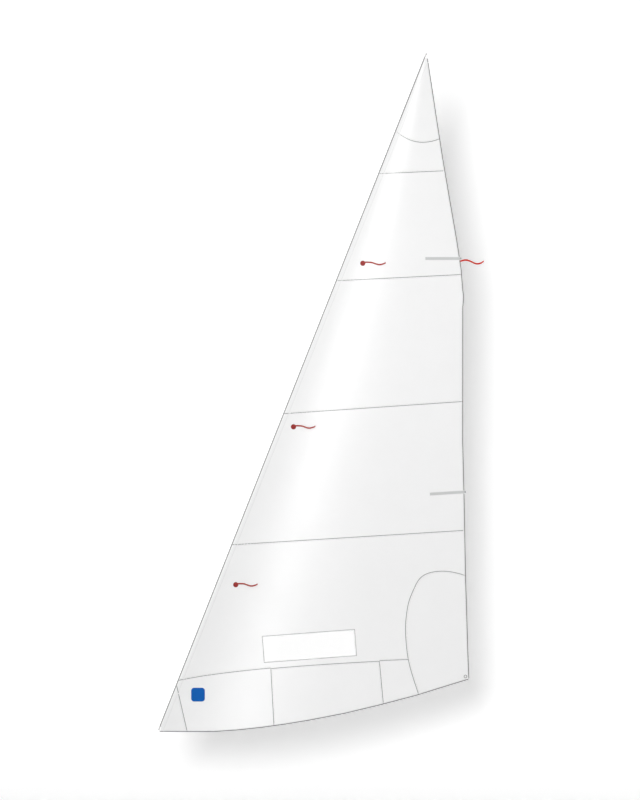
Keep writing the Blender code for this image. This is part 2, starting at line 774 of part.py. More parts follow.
def make_telltales():
    """A dot on each side of the cloth at three heights, each with a ribbon that swings on it."""
    for name, (z, behind_luff) in TELLTALES.items():
        x = luff_x(z) + behind_luff
        number = panel_layer(x, z)
        dot = prism(name + "_dot_outline", circle((x, z), DOT_RADIUS))
        cloth(name + "_dot_port", number - 1, red_dot, dot)
        cloth(name + "_dot_starboard", number + 1, red_dot, dot)
        port = ribbon_root(x, z, layer(number - 1)[0], RIBBON_RAISED)
        starboard = ribbon_root(x, z, layer(number + 1)[1], -RIBBON_RAISED)
        out, aft, up = surface_frame(x, z)
        bend = sheet_bend(x, z) * RIBBON_BEND_ROOM
        add_ribbon(name + "_ribbon_port", port, RIBBON_PATH, (out, aft, up))
        add_ribbon(name + "_ribbon_starboard", starboard, RIBBON_PATH, (-out, aft, up), bend)


def make_leech_ribbon():
    z = BATTENS["upper"][0] - LEECH_RIBBON_BELOW_BATTEN
    x = leech_x(z) - LEECH_RIBBON_ROOT
    out, aft, up = surface_frame(x, z)
    root = on_sheet(x, z, STACK_TAPE) - out * (CLEAR + CLOTH / 2)
    add_ribbon("leech_ribbon", root, LEECH_RIBBON_PATH, (-out, aft, up))


def make_badge():
    """A plain square patch with cut corners."""
    half = BADGE_SIDE / 2
    inner = half - BADGE_CORNER
    outline = []
    for quarter in range(4):
        for step in range(5):
            angle = math.radians(90 * quarter + 22.5 * step)
            corner = Vector((inner, inner))
            corner.rotate(Matrix.Rotation(math.radians(90 * quarter), 2))
            outline.append(
                (
                    BADGE_MIDDLE[0] + corner.x + BADGE_CORNER * math.cos(angle),
                    BADGE_MIDDLE[1] + corner.y + BADGE_CORNER * math.sin(angle),
                )
            )
    cloth("tack_badge", 0, blue_film, prism("badge_outline", outline))


def turned(name, profile, middle, axis, finish, steps=32):
    """A turned ring: profile is closed, as (radius, place along the axis), outer side top to bottom."""
    mesh = bpy.data.meshes.new(name)
    count = len(profile)
    verts = [(radius, 0.0, height) for radius, height in profile]
    mesh.from_pydata(verts, [(i, (i + 1) % count) for i in range(count)], [])
    obj = bpy.data.objects.new(name, mesh)
    obj.location = middle
    obj.rotation_mode = "QUATERNION"
    obj.rotation_quaternion = Vector((0.0, 0.0, 1.0)).rotation_difference(axis)
    add_part(obj, finish)
    screw = obj.modifiers.new("turn", "SCREW")
    screw.axis = "Z"
    screw.angle = 2 * math.pi
    screw.steps = steps
    screw.render_steps = steps
    screw.use_merge_vertices = True
    screw.merge_threshold = 0.00001
    return obj


def thimble_profile():
    """Round grooved ring: flat sides, and a groove that the wire lies in."""
    half = THIMBLE_HALF_WIDTH
    start = math.acos(THIMBLE_RIM / GROOVE_RADIUS)
    steps = 8
    points = [(THIMBLE_BORE, half), (THIMBLE_FLANGE, half)]
    for i in range(steps + 1):
        angle = start + (2 * math.pi - 2 * start) * i / steps
        points.append((EYE_RADIUS + GROOVE_RADIUS * math.cos(angle), GROOVE_RADIUS * math.sin(angle)))
    points += [(THIMBLE_FLANGE, -half), (THIMBLE_BORE, -half)]
    return points


def rounded_corner(before, corner, after, steps=4):
    """Points of a short curve that replaces a corner."""
    start = corner + (before - corner).normalized() * THROAT_BEND
    end = corner + (after - corner).normalized() * THROAT_BEND
    shares = [i / steps for i in range(steps + 1)]
    return [start * (1 - t) ** 2 + corner * 2 * t * (1 - t) + end * t**2 for t in shares]


def eye_points(turn):
    """One end of the wire, from the straight part round the thimble to the tail's end.

    turn is 1 at the head and -1 at the tack. Each point is (along the luff, aft)."""
    reach = FERRULE_START - THROAT_BEND
    wire_corner = Vector((-reach, 0.0))
    tail_corner = Vector((-reach, TAIL_OFFSET))
    first = math.pi + math.acos(EYE_RADIUS / reach)
    tail_angle = math.pi - math.atan2(TAIL_OFFSET, reach) - math.acos(EYE_RADIUS / tail_corner.length)
    last = 2 * math.pi + tail_angle
    steps = 16
    angles = [first + (last - first) * i / steps for i in range(steps + 1)]
    loop = [Vector((math.cos(angle), math.sin(angle))) * EYE_RADIUS for angle in angles]
    wire_back = wire_corner - Vector((FERRULE_START, 0.0))
    tail_end = tail_corner - Vector((THROAT_BEND + FERRULE_LENGTH, 0.0))
    points = rounded_corner(wire_back, wire_corner, loop[0]) + loop
    points += rounded_corner(loop[-1], tail_corner, tail_end) + [tail_end]
    return [(turn * point.x, point.y) for point in points]


def make_wire():
    """One wire from eye to eye, with its tails beside it in the ferrules."""
    head_end = [(LUFF_LENGTH + along, aft) for along, aft in eye_points(1)]
    tack_end = eye_points(-1)
    route = list(reversed(tack_end)) + head_end
    curve = bpy.data.curves.new("luff_wire", "CURVE")
    curve.dimensions = "3D"
    curve.bevel_depth = WIRE_RADIUS
    curve.bevel_resolution = 2
    curve.use_fill_caps = True
    spline = curve.splines.new("POLY")
    spline.points.add(len(route) - 1)
    for point, (along, aft) in zip(spline.points, route):
        place = ALONG * along + AFT * aft
        point.co = (place.x, place.y, place.z, 1.0)
    obj = bpy.data.objects.new("luff_wire", curve)
    add_part(obj, steel_wire)
    for name, along in (("tack", 0.0), ("head", LUFF_LENGTH)):
        turned(name + "_thimble", thimble_profile(), ALONG * along, Vector((0.0, 1.0, 0.0)), steel)


def oval(name, low, high, room):
    """Oval bar along the luff, whose sides lie room metres out from both runs of wire."""
    radius = WIRE_RADIUS + room
    steps = 8
    outline = []
    for middle, first in ((TAIL_OFFSET, -90), (0.0, 90)):
        for i in range(steps + 1):
            angle = math.radians(first + 180 * i / steps)
            outline.append((middle + radius * math.cos(angle), radius * math.sin(angle)))
    curve = bpy.data.curves.new(name, "CURVE")
    curve.dimensions = "2D"
    curve.fill_mode = "BOTH"
    curve.extrude = (high - low) / 2
    spline = curve.splines.new("POLY")
    spline.points.add(len(outline) - 1)
    for point, (aft, side) in zip(spline.points, outline):
        point.co = (aft, side, 0.0, 1.0)
    spline.use_cyclic_u = True
    flat = bpy.data.objects.new(name + "_outline", curve)
    cutters.objects.link(flat)
    flat.location = ALONG * (low + high) / 2
    flat.rotation_euler = (0.0, RAKE, 0.0)
    bpy.context.view_layer.update()
    return as_mesh(flat, name)


def make_ferrules():
    ends = {
        "tack": (FERRULE_START, FERRULE_START + FERRULE_LENGTH),
        "head": (LUFF_LENGTH - FERRULE_START - FERRULE_LENGTH, LUFF_LENGTH - FERRULE_START),
    }
    for name, (low, high) in ends.items():
        ferrule = add_part(oval(name + "_ferrule", low, high, CLEAR + FERRULE_WALL), copper)
        hole = add_cutter(oval(name + "_ferrule_hole", low - OVERRUN, high + OVERRUN, CLEAR))
        cut(ferrule, hole)


def clew_eyelet_middle():
    """Side-view place at the same distance from leech and foot."""
    before, corner, after = edge_points()[len(FOOT_SHAPE) : len(FOOT_SHAPE) + 3]
    clew = Vector(corner)
    down_foot = (Vector(before) - clew).normalized()
    up_leech = (Vector(after) - clew).normalized()
    half = down_foot.angle(up_leech) / 2
    return clew + (down_foot + up_leech).normalized() * EYELET_FROM_EDGE / math.sin(half)


def make_clew_eyelet():
    x, z = clew_eyelet_middle()
    out = port_normal(x, z)
    stack = STACK_PATCH * abs(out.y)
    port = stack + CLEAR
    washer_low = -stack - CLEAR
    washer_high = washer_low - EYELET_PLATE
    lip_low = washer_high - CLEAR
    lip_high = lip_low - EYELET_PLATE
    profile = [
        (EYELET_BORE, port + EYELET_PLATE),
        (EYELET_FLANGE, port + EYELET_PLATE),
        (EYELET_FLANGE, port),
        (EYELET_BARREL, port),
        (EYELET_BARREL, lip_low),
        (EYELET_LIP, lip_low),
        (EYELET_LIP, lip_high),
        (EYELET_BORE, lip_high),
    ]
    turned("clew_eyelet", profile, on_sheet(x, z), out, steel)
    profile = [
        (EYELET_BARREL + CLEAR, washer_low),
        (EYELET_FLANGE, washer_low),
        (EYELET_FLANGE, washer_high),
        (EYELET_BARREL + CLEAR, washer_high),
    ]
    turned("clew_washer", profile, on_sheet(x, z), out, steel)


def clew_hole_cutter():
    """Round hole for the eyelet's barrel, square to the cloth there."""
    x, z = clew_eyelet_middle()
    work = bmesh.new()
    radius = EYELET_BARREL + CLEAR
    bmesh.ops.create_cone(work, cap_ends=True, segments=32, radius1=radius, radius2=radius, depth=2 * THROUGH)
    mesh = bpy.data.meshes.new("clew_hole")
    work.to_mesh(mesh)
    work.free()
    obj = bpy.data.objects.new("clew_hole", mesh)
    obj.location = on_sheet(x, z)
    obj.rotation_mode = "QUATERNION"
    obj.rotation_quaternion = Vector((0.0, 0.0, 1.0)).rotation_difference(port_normal(x, z))
    return add_cutter(obj)


def finish_parts():
    """Applies each part's modifiers, so that only its real edges are shaded sharp."""
    graph = bpy.context.evaluated_depsgraph_get()
    shapes = {obj: bpy.data.meshes.new_from_object(obj.evaluated_get(graph)) for obj in sail.objects}
    for obj, shape in shapes.items():
        if obj.type != "MESH":
            continue
        obj.modifiers.clear()
        obj.data = shape
        shape.shade_smooth()
        shape.set_sharp_from_angle(angle=math.radians(30))


clear_scene()
sail = new_collection("jib_sail")
cutters = new_collection("cutters")

white = material("sailcloth", (0.90, 0.90, 0.90), 0.6)
white_patch = material("patch_cloth", (0.88, 0.88, 0.88), 0.6)
white_tape = material("tape_cloth", (0.80, 0.80, 0.80), 0.6)
grey_cloth = material("pocket_cloth", (0.56, 0.60, 0.60), 0.7)
batten_grey = material("glass_fibre", (0.62, 0.65, 0.64), 0.4)
cap_grey = material("batten_cap", (0.45, 0.47, 0.47), 0.5)
clear_film = material("window_film", (0.95, 0.97, 1.0), 0.1, alpha=0.4)
red_dot = material("dot_film", (0.37, 0.03, 0.025), 0.5)
red_ribbon = material("ribbon_cloth", (0.55, 0.05, 0.035), 0.6)
blue_film = material("badge_film", (0.01, 0.13, 0.48), 0.4)
steel = material("stainless_steel", (0.75, 0.75, 0.75), 0.25, 1.0)
steel_wire = material("wire_rope", (0.62, 0.62, 0.62), 0.35, 1.0)
copper = material("ferrule_metal", (0.70, 0.42, 0.30), 0.35, 1.0)

outer_edges = prism("outer_edges", inset_edges(0.0))
inside_edges = prism("inside_edges", inset_edges(CLOTH + CLEAR))
cloth_top = LUFF_LENGTH - CLOTH_START
behind_wire = prism("behind_wire", luff_box(-FAR, cloth_top, CLOTH_FROM_WIRE, SIDE_REACH + FAR))
tack_notch = prism("tack_notch", luff_box(-FAR, CLOTH_START, -FAR, LUFF_CUT_BACK))
clew_hole = clew_hole_cutter()

make_panels()
make_window()
make_patches()
make_luff_sleeve()
make_edge_tapes()
for batten_name, batten_place in BATTENS.items():
    make_batten(batten_name, batten_place)
make_telltales()
make_leech_ribbon()
make_badge()
make_wire()
make_ferrules()
make_clew_eyelet()
for cut_corner in ("foot_panel_tack", "tack_patch_port", "tack_patch_starboard", "foot_tape"):
    cut(bpy.data.objects[cut_corner], tack_notch)
finish_parts()
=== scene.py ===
"""Looks of the jib sail: fine cloth, seams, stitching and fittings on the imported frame.

Metres, in the frame's own axes: X aft, Z up, and -Y the port side, which the camera faces.
"""

import json
import math

import bmesh
import bpy
import numpy as np
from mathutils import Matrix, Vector


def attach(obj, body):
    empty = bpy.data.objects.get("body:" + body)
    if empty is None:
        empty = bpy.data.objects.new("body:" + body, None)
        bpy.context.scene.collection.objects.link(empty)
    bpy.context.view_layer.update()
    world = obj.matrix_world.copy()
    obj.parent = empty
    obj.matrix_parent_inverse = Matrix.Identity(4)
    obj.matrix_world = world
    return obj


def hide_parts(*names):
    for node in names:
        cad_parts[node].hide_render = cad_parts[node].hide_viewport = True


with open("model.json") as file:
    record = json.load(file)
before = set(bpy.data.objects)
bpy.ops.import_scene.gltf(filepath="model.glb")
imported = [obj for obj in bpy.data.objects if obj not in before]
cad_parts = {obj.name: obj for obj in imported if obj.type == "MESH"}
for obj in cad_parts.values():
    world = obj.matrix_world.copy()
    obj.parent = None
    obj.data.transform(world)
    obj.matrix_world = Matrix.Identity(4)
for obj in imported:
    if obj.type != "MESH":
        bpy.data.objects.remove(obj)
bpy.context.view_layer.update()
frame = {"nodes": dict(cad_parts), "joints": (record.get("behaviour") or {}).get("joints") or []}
scene = bpy.context.scene
scene.view_settings.view_transform = "Standard"
nodes = frame["nodes"]
joints = {joint["name"]: joint for joint in frame["joints"]}


def put(name, data):
    """A new object in the scene."""
    made = bpy.data.objects.new(name, data)
    scene.collection.objects.link(made)
    return made


# Sail plan, as in the part's source
LUFF = 4.90
RAKE = math.radians(21.59)
CLEW_AFT = 2.088
CLEW_UP = 0.352
LEECH_SHAPE = (
    (0.045, 0.016), (0.109, 0.038), (0.173, 0.0615), (0.237, 0.0887), (0.302, 0.1173),
    (0.350, 0.1338), (0.382, 0.1350), (0.393, 0.1385), (0.410, 0.1271), (0.620, 0.0664),
    (0.715, 0.0492), (0.842, 0.0228), (0.969, 0.0032),
)
FOOT_SHAPE = (
    (0.094, 0.0347), (0.172, 0.0628), (0.250, 0.0790), (0.324, 0.0886), (0.400, 0.0935),
    (0.478, 0.0945), (0.594, 0.0884), (0.711, 0.0716), (0.828, 0.0489), (0.907, 0.0261),
)
DRAFT = 0.10
DRAFT_END = 0.68
CHORD_PAST_CLEW = 0.177
FRONT_COLUMNS = 22
SHEET_BACK = 1.22
CLOTH = 0.0003
CLEAR = 0.0003
PITCH = CLOTH + CLEAR
SEAM_LAP = 0.015
SLEEVE_WIDTH = 0.035
TAPE_WIDTH = 0.012
SEAMS = ((3.737, 3.757), (3.024, 3.066), (2.129, 2.211), (1.255, 1.352))
FOOT_SEAM = (
    (0.0, 0.315), (0.135, 0.342), (0.364, 0.381), (0.712, 0.421), (1.128, 0.454),
    (1.637, 0.481), (2.400, 0.502),
)
FOOT_CUTS = (((0.754, 0.46), (0.780, -0.02)), ((1.482, 0.53), (1.522, 0.10)))
HEAD_PATCH_LUFF = 0.571
HEAD_PATCH_LEECH = 0.584
HEAD_PATCH_BULGE = 0.0485
TACK_PATCH_LUFF = 0.344
TACK_PATCH_FOOT = 0.200
CLEW_PATCH = (
    (-0.015, 0.692), (-0.076, 0.712), (-0.156, 0.7256), (-0.237, 0.722), (-0.300, 0.702),
    (-0.343, 0.665), (-0.377, 0.598), (-0.404, 0.531), (-0.4188, 0.464), (-0.4295, 0.364),
    (-0.4268, 0.263), (-0.4107, 0.129), (-0.374, -0.005), (-0.325, -0.150),
)
WINDOW_MIDDLE = (1.0164, 0.5749)
WINDOW_LENGTH = 0.625
WINDOW_DEPTH = 0.181
WINDOW_TILT = math.radians(4.3)
WINDOW_LAP = 0.012
BATTENS = {"upper": (3.171, 0.0), "lower": (1.607, math.radians(3.6))}
POCKET_LENGTH = 0.2313
POCKET_WIDTH = 0.0190
DOT_RADIUS = 0.0175
TELLTALES = {"upper": (3.139, 0.132), "middle": (2.0435, 0.101), "lower": (0.9856, 0.133)}
RIBBON_WIDTH = 0.010
LEECH_RIBBON_WIDTH = 0.012
RIBBON_PATH = (
    (0.0, 0.0), (0.030, 0.001), (0.060, -0.001), (0.085, -0.009), (0.110, -0.015),
    (0.135, -0.011), (0.156, -0.002),
)
FAR_RIBBON_PATH = (
    (0.0, 0.0), (0.020, -0.0055), (0.045, -0.0095), (0.070, -0.0120), (0.095, -0.0205),
    (0.118, -0.0245), (0.138, -0.0210), (0.154, -0.0130),
)
LEECH_RIBBON_PATH = (
    (0.0, 0.0), (0.020, 0.007), (0.042, 0.0105), (0.065, 0.007), (0.085, -0.001),
    (0.105, -0.010), (0.126, -0.0145), (0.150, -0.010), (0.172, 0.004),
)
BADGE_MIDDLE = (0.270, 0.249)
BADGE_SIDE = 0.092
BADGE_CORNER = 0.020
WIRE_RADIUS = 0.0016
THIMBLE_BORE = 0.0050
THIMBLE_RIM = 0.0011
GROOVE_RADIUS = 0.0019
EYE_RADIUS = 0.0083
THIMBLE_FLANGE = 0.0094
THIMBLE_HALF_WIDTH = 0.0032
FERRULE_START = 0.020
FERRULE_LENGTH = 0.014
FERRULE_WALL = 0.0008
THROAT_BEND = 0.004
TAIL_OFFSET = 0.0038
CLOTH_START = 0.038
EYE_ROOM = 0.0021
LUFF_CUT_BACK = EYE_RADIUS + WIRE_RADIUS + EYE_ROOM
EYELET_BORE = 0.0065
EYELET_BARREL = 0.0075
EYELET_FLANGE = 0.0120
EYELET_LIP = 0.0092
EYELET_PLATE = 0.0008
EYELET_FROM_EDGE = 0.0255

# Worked out
ALONG = Vector((math.sin(RAKE), 0.0, math.cos(RAKE)))
AFT = Vector((math.cos(RAKE), 0.0, -math.sin(RAKE)))
HEAD = ALONG * LUFF
CLEW = Vector((CLEW_AFT, 0.0, CLEW_UP))
TACK = Vector((0.0, 0.0, 0.0))
CHORD_SPREAD = (CLEW_AFT + CHORD_PAST_CLEW - CLEW_UP * math.tan(RAKE)) / (HEAD.z - CLEW_UP)

# Faces of the cloth's layers, measured from its middle
INNER_FACE = CLOTH / 2 - PITCH / 2
PANEL_FACE = CLOTH / 2 + PITCH / 2
PATCH_FACE = 1.5 * PITCH + CLOTH / 2
TAPE_FACE = 2.5 * PITCH + CLOTH / 2
POCKET_FACE = 0.00235

# Widths that the folded sleeve, tapes and pockets were cut to
SLEEVE_FLAT = 0.0852
TAPE_FLAT = 0.0274
POCKET_FLAT = 0.0235

# Camera, with the tack where the photo has it
PIXEL = 0.0067
FRAME_WIDTH = 640
FRAME_HEIGHT = 800
TACK_PIXEL = (157.7, 731.8)
CAMERA_FAR = 12.0
camera_data = bpy.data.cameras.new("camera")
camera_data.type = "ORTHO"
camera_data.ortho_scale = FRAME_HEIGHT * PIXEL
camera_data.clip_end = 60.0
camera = put("camera", camera_data)
camera_x = (FRAME_WIDTH / 2 - TACK_PIXEL[0]) * PIXEL
camera_z = (TACK_PIXEL[1] - FRAME_HEIGHT / 2) * PIXEL
camera.location = (camera_x, -CAMERA_FAR, camera_z)
camera.rotation_euler = (math.pi / 2, 0.0, 0.0)
scene.camera = camera


# Shape of the set sail
def luff_x(z):
    return z * math.tan(RAKE)


def chord_at(z):
    return CHORD_SPREAD * np.maximum(HEAD.z - z, 1e-4)


DEEPEST = DRAFT_END * (1.0 - math.sqrt(DRAFT_END / 3.0))
CAMBER_SCALE = 1.0 / (1.0 - DEEPEST - (1.0 - DEEPEST / DRAFT_END) ** 3)


def camber(share):
    front = np.maximum(0.0, 1.0 - share / DRAFT_END)
    return CAMBER_SCALE * ((1.0 - share) - front**3)


HALVES = (np.arange(200) + 0.5) / 200
LEAN = DRAFT * camber(HALVES).sum() / HALVES.sum()


def section(share):
    return LEAN * share - DRAFT * camber(share)


def behind_wire(x, z):
    return (x - luff_x(z)) * math.cos(RAKE)


def from_clew(x, z):
    return np.hypot(x - CLEW_AFT, z - CLEW_UP)


def step(value, low, high):
    """Smooth rise from 0 at low to 1 at high."""
    t = np.clip((value - low) / (high - low), 0.0, 1.0)
    return t * t * (3.0 - 2.0 * t)


def smooth_through(points, steps=4):
    points = [np.array(p, float) for p in points]
    ends = [points[0], *points, points[-1]]
    found = []
    for p, q, r, s in zip(ends, ends[1:], ends[2:], ends[3:]):
        for i in range(steps):
            t = i / steps
            square = (2 * p - 5 * q + 4 * r - s) * t**2
            cube = (3 * q - p - 3 * r + s) * t**3
            found.append(0.5 * (2 * q + (r - p) * t + square + cube))
    return np.array(found + [points[-1]])


def off_line(start, end, shape):
    run = end - start
    out = Vector((-run.z, 0.0, run.x)).normalized()
    return [start + run * share + out * depth for share, depth in shape]


FOOT_OUT = [(share, -depth) for share, depth in FOOT_SHAPE]
FOOT_LINE = np.array([p.xz for p in (TACK, *off_line(TACK, CLEW, FOOT_OUT), CLEW)])
LEECH_OUT = list(reversed(off_line(HEAD, CLEW, LEECH_SHAPE)))
LEECH_LINE = np.array([p.xz for p in (CLEW, *LEECH_OUT, HEAD)])


def leech_x(z):
    return np.interp(z, LEECH_LINE[:, 1], LEECH_LINE[:, 0])


def foot_z(x):
    return np.interp(x, FOOT_LINE[:, 0], FOOT_LINE[:, 1])


FOOT_SEAM_LINE = smooth_through(FOOT_SEAM)


def foot_seam_z(x):
    return np.interp(x, FOOT_SEAM_LINE[:, 0], FOOT_SEAM_LINE[:, 1])


def seam_z(seam, x):
    x1, x2 = luff_x(seam[0]), leech_x(seam[1])
    return seam[0] + (seam[1] - seam[0]) / (x2 - x1) * (x - x1)


def batten_place(batten, x, z):
    """How far along a batten, from the leech, and how far beside it a place is."""
    height, tilt = batten
    along = (x - leech_x(height)) * math.cos(tilt) + (z - height) * math.sin(tilt)
    return along, (z - height) * math.cos(tilt) - (x - leech_x(height)) * math.sin(tilt)


UNEVEN = 0.0005
CREASE = 0.0004
CREASE_REACH = 0.6


def relief(x, z):
    """Small unevenness of real cloth, nought where something is fixed to it or moves over it."""
    root = joints["leech_ribbon_pivot"]["pos_m"]
    places = [
        (behind_wire(x, z), 0.045, 0.16),
        (from_clew(x, z), 0.20, 0.45),
        (np.hypot(x, z), 0.15, 0.40),
        (np.hypot(x - HEAD.x, z - HEAD.z), 0.1, 0.4),
    ]
    for batten in BATTENS.values():
        along, beside = batten_place(batten, x, z)
        past = np.maximum(0.0, np.maximum(along, -POCKET_LENGTH - along))
        places.append((np.hypot(beside, past), 0.04, 0.16))
    for height, behind in TELLTALES.values():
        places.append((np.hypot(x - luff_x(height) - behind, z - height), 0.18, 0.32))
    places.append((np.hypot(x - root[0], z - root[2]), 0.19, 0.33))
    held = 1.0
    for far, near_end, far_end in places:
        held = held * step(far, near_end, far_end)
    slow = np.sin(5.1 * x + 3.3 * z + 0.4) + np.sin(6.9 * z - 3.7 * x + 1.9)
    slow = slow + 0.6 * np.sin(9.5 * x + 11.2 * z)
    clew = np.sin(9.0 * np.arctan2(z - CLEW_UP, x - CLEW_AFT))
    clew = clew * np.exp(-from_clew(x, z) / CREASE_REACH)
    tack = np.sin(9.0 * np.arctan2(z, x)) * np.exp(-np.hypot(x, z) / CREASE_REACH)
    return held * (UNEVEN * slow + CREASE * clew + CREASE * tack)


# The cloth's surface runs straight between these shares of the chord and these heights
ROW = 0.03
HEIGHTS = np.arange(-5, 154) * ROW
bend_shares = np.linspace(0.0, DRAFT_END, 56)
SHARES = np.concatenate([bend_shares, np.linspace(DRAFT_END, SHEET_BACK, 31)[1:]])
grid_z, grid_share = np.meshgrid(HEIGHTS, SHARES, indexing="ij")
RELIEF = relief(luff_x(grid_z) + grid_share * chord_at(grid_z), grid_z)

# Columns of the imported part's flat-sided sheet, closer together at the luff
COLUMN_GROWTH = 1.15
COLUMNS = np.array([(i / FRONT_COLUMNS) ** COLUMN_GROWTH for i in range(FRONT_COLUMNS + 1)])
COLUMNS = np.append(DRAFT_END * COLUMNS, SHEET_BACK)


def chord_share(x, z):
    return np.maximum((x - luff_x(z)) / chord_at(z), 0.0)


def cloth_y(x, z):
    """Sideways place of the middle of the cloth."""
    share = np.clip(chord_share(x, z), 0.0, SHARES[-1])
    column = np.clip(np.searchsorted(SHARES, share, side="right") - 1, 0, len(SHARES) - 2)
    row = np.clip(np.floor((z - HEIGHTS[0]) / ROW).astype(int), 0, len(HEIGHTS) - 2)
    a = (share - SHARES[column]) / (SHARES[column + 1] - SHARES[column])
    b = (z - HEIGHTS[row]) / ROW
    low = RELIEF[row, column] * (1 - a) + RELIEF[row, column + 1] * a
    high = RELIEF[row + 1, column] * (1 - a) + RELIEF[row + 1, column + 1] * a
    return chord_at(z) * np.interp(share, SHARES, section(SHARES)) + low * (1 - b) + high * b


def plain_y(x, z):
    """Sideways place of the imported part's flat-sided sheet."""
    return chord_at(z) * np.interp(chord_share(x, z), COLUMNS, section(COLUMNS))


# Directions from the head to points of the sheet, and their angles when it is unrolled
ray_x = CHORD_SPREAD * SHARES - math.tan(RAKE)
rays = np.stack([ray_x, CHORD_SPREAD * section(SHARES), -np.ones(len(SHARES))], axis=1)
RAY_LENGTHS = np.linalg.norm(rays, axis=1)
turns = np.linalg.norm(np.diff(rays / RAY_LENGTHS[:, None], axis=0), axis=1)
UNROLLED = np.concatenate([[0.0], np.cumsum(turns)])


def unrolled_box(x, z):
    """Sides of the smallest rectangle that holds these places once the sheet is laid flat."""
    share = chord_share(x, z)
    length = np.interp(share, SHARES, RAY_LENGTHS) * (HEAD.z - z)
    angle = np.interp(share, SHARES, UNROLLED)
    flat = np.stack([length * np.cos(angle), length * np.sin(angle)])
    boxes = []
    for degrees in range(90):
        c, s = math.cos(math.radians(degrees)), math.sin(math.radians(degrees))
        boxes.append(np.ptp(np.array([[c, -s], [s, c]]) @ flat, axis=1))
    best = min(boxes, key=np.prod)
    return min(best), max(best)


# Materials
class Tree:
    """The nodes of a material or of the world."""

    def __init__(self, owner):
        owner.use_nodes = True
        self.tree = owner.node_tree

    def feed(self, socket, value):
        """Sets an input, or links it where the value is another node's output."""
        if isinstance(value, bpy.types.NodeSocket):
            self.tree.links.new(value, socket)
        else:
            socket.default_value = value

    def node(self, kind, inputs=None, **values):
        """The outputs of a new node."""
        made = self.tree.nodes.new(kind)
        for key, value in values.items():
            setattr(made, key, value)
        for key, value in (inputs or {}).items():
            self.feed(made.inputs[key], value)
        return made.outputs

    def math(self, operation, a, b):
        return self.node("ShaderNodeMath", {0: a, 1: b}, operation=operation)["Value"]

    def along(self, place, way):
        inputs = {0: place, 1: way}
        return self.node("ShaderNodeVectorMath", inputs, operation="DOT_PRODUCT")["Value"]

    def spread(self, value, low, high, start=0.0):
        """A value between start and 1, spread from low to high."""
        inputs = {"Value": value, "From Min": start, "To Min": low, "To Max": high}
        return self.node("ShaderNodeMapRange", inputs)["Result"]

    def mixed(self, share, first, second):
        return self.node("ShaderNodeMixShader", {0: share, 1: first, 2: second})["Shader"]


class Paint(Tree):
    """A node material built step by step."""

    def __init__(self, name):
        self.material = bpy.data.materials.new(name)
        super().__init__(self.material)
        self.shader = self.tree.nodes["Principled BSDF"]

    def set(self, **values):
        for key, value in values.items():
            self.feed(self.shader.inputs[key.replace("_", " ")], value)
        return self

    def place(self, scale=(1.0, 1.0, 1.0), turn=(0.0, 0.0, 0.0)):
        place = self.node("ShaderNodeTexCoord")["Object"]
        inputs = {"Vector": place, "Scale": scale, "Rotation": turn}
        return self.node("ShaderNodeMapping", inputs)["Vector"]

    def noise(self, size, detail=3.0, rough=0.5, **turned):
        place = self.place(**turned)
        inputs = {"Vector": place, "Scale": 1.0 / size, "Detail": detail, "Roughness": rough}
        return self.node("ShaderNodeTexNoise", inputs)["Fac"]

    def wave(self, pitch, way):
        scale = math.pi / 10 / pitch
        inputs = {"Vector": self.place(), "Scale": scale, "Distortion": 0.3, "Detail": 1.0}
        return self.node("ShaderNodeTexWave", inputs, bands_direction=way)["Fac"]

    def weave(self, pitch):
        threads = self.math("MULTIPLY", self.wave(pitch, "X"), self.wave(pitch, "Z"))
        return self.bump(threads, 0.00008, 0.5)

    def colour(self, value, low, high, low_colour, high_colour):
        inputs = {"Value": value, "From Min": low, "From Max": high}
        share = self.node("ShaderNodeMapRange", inputs)["Result"]
        inputs = {"Factor": share, 6: (*low_colour, 1.0), 7: (*high_colour, 1.0)}
        return self.set(Base_Color=self.node("ShaderNodeMix", inputs, data_type="RGBA")[2])

    def roughness(self, value, low, high):
        return self.set(Roughness=self.spread(value, low, high))

    def bump(self, height, distance, strength):
        inputs = {"Height": height, "Distance": distance, "Strength": strength}
        return self.set(Normal=self.node("ShaderNodeBump", inputs)["Normal"])


TAPE_WEAVE = 0.0009


def darker(colour, share):
    return tuple(c * (1.0 - share) for c in colour)


def woven(name, colour, pitch=0.0006, rough=0.5, uneven=0.03, gloss=0.5, through=0.0):
    """Plain weave under a resin finish. through is the share of light that scatters in it."""
    paint = Paint(name)
    slow = paint.noise(0.16, 4.0)
    streak = paint.noise(0.012, 2.0, scale=(0.05, 1.0, 1.0))
    level = paint.math("ADD", slow, paint.math("MULTIPLY", streak, 0.35))
    paint.colour(level, 0.45, 0.95, darker(colour, uneven), colour)
    paint.roughness(slow, rough - 0.05, rough + 0.07).weave(pitch)
    paint.set(Specular_IOR_Level=gloss, Subsurface_Weight=through, Subsurface_Scale=0.0001)
    return paint.set(Subsurface_Radius=(1.0, 1.0, 1.0)).material


def sleeve_cloth():
    """Tape cloth with painted shade: a dark band along its fold round the luff wire, which outlines
    the luff.
    """
    paint = Paint("sleeve_cloth")
    behind = paint.along(paint.node("ShaderNodeTexCoord")["Object"], AFT)
    fold_shade_jitter = paint.math("MULTIPLY", paint.noise(0.03, 3.0), 0.001)
    edge = paint.math("ADD", behind, fold_shade_jitter)
    # Painted shade: nearly black up to 3 mm behind the wire and pale from 5.2 mm, with a ragged
    # border
    paint.colour(edge, 0.0030, 0.0052, (0.12, 0.12, 0.12), (0.90, 0.90, 0.90))
    paint.roughness(paint.noise(0.16, 4.0), 0.43, 0.55)
    return paint.set(Specular_IOR_Level=0.9).weave(TAPE_WEAVE).material


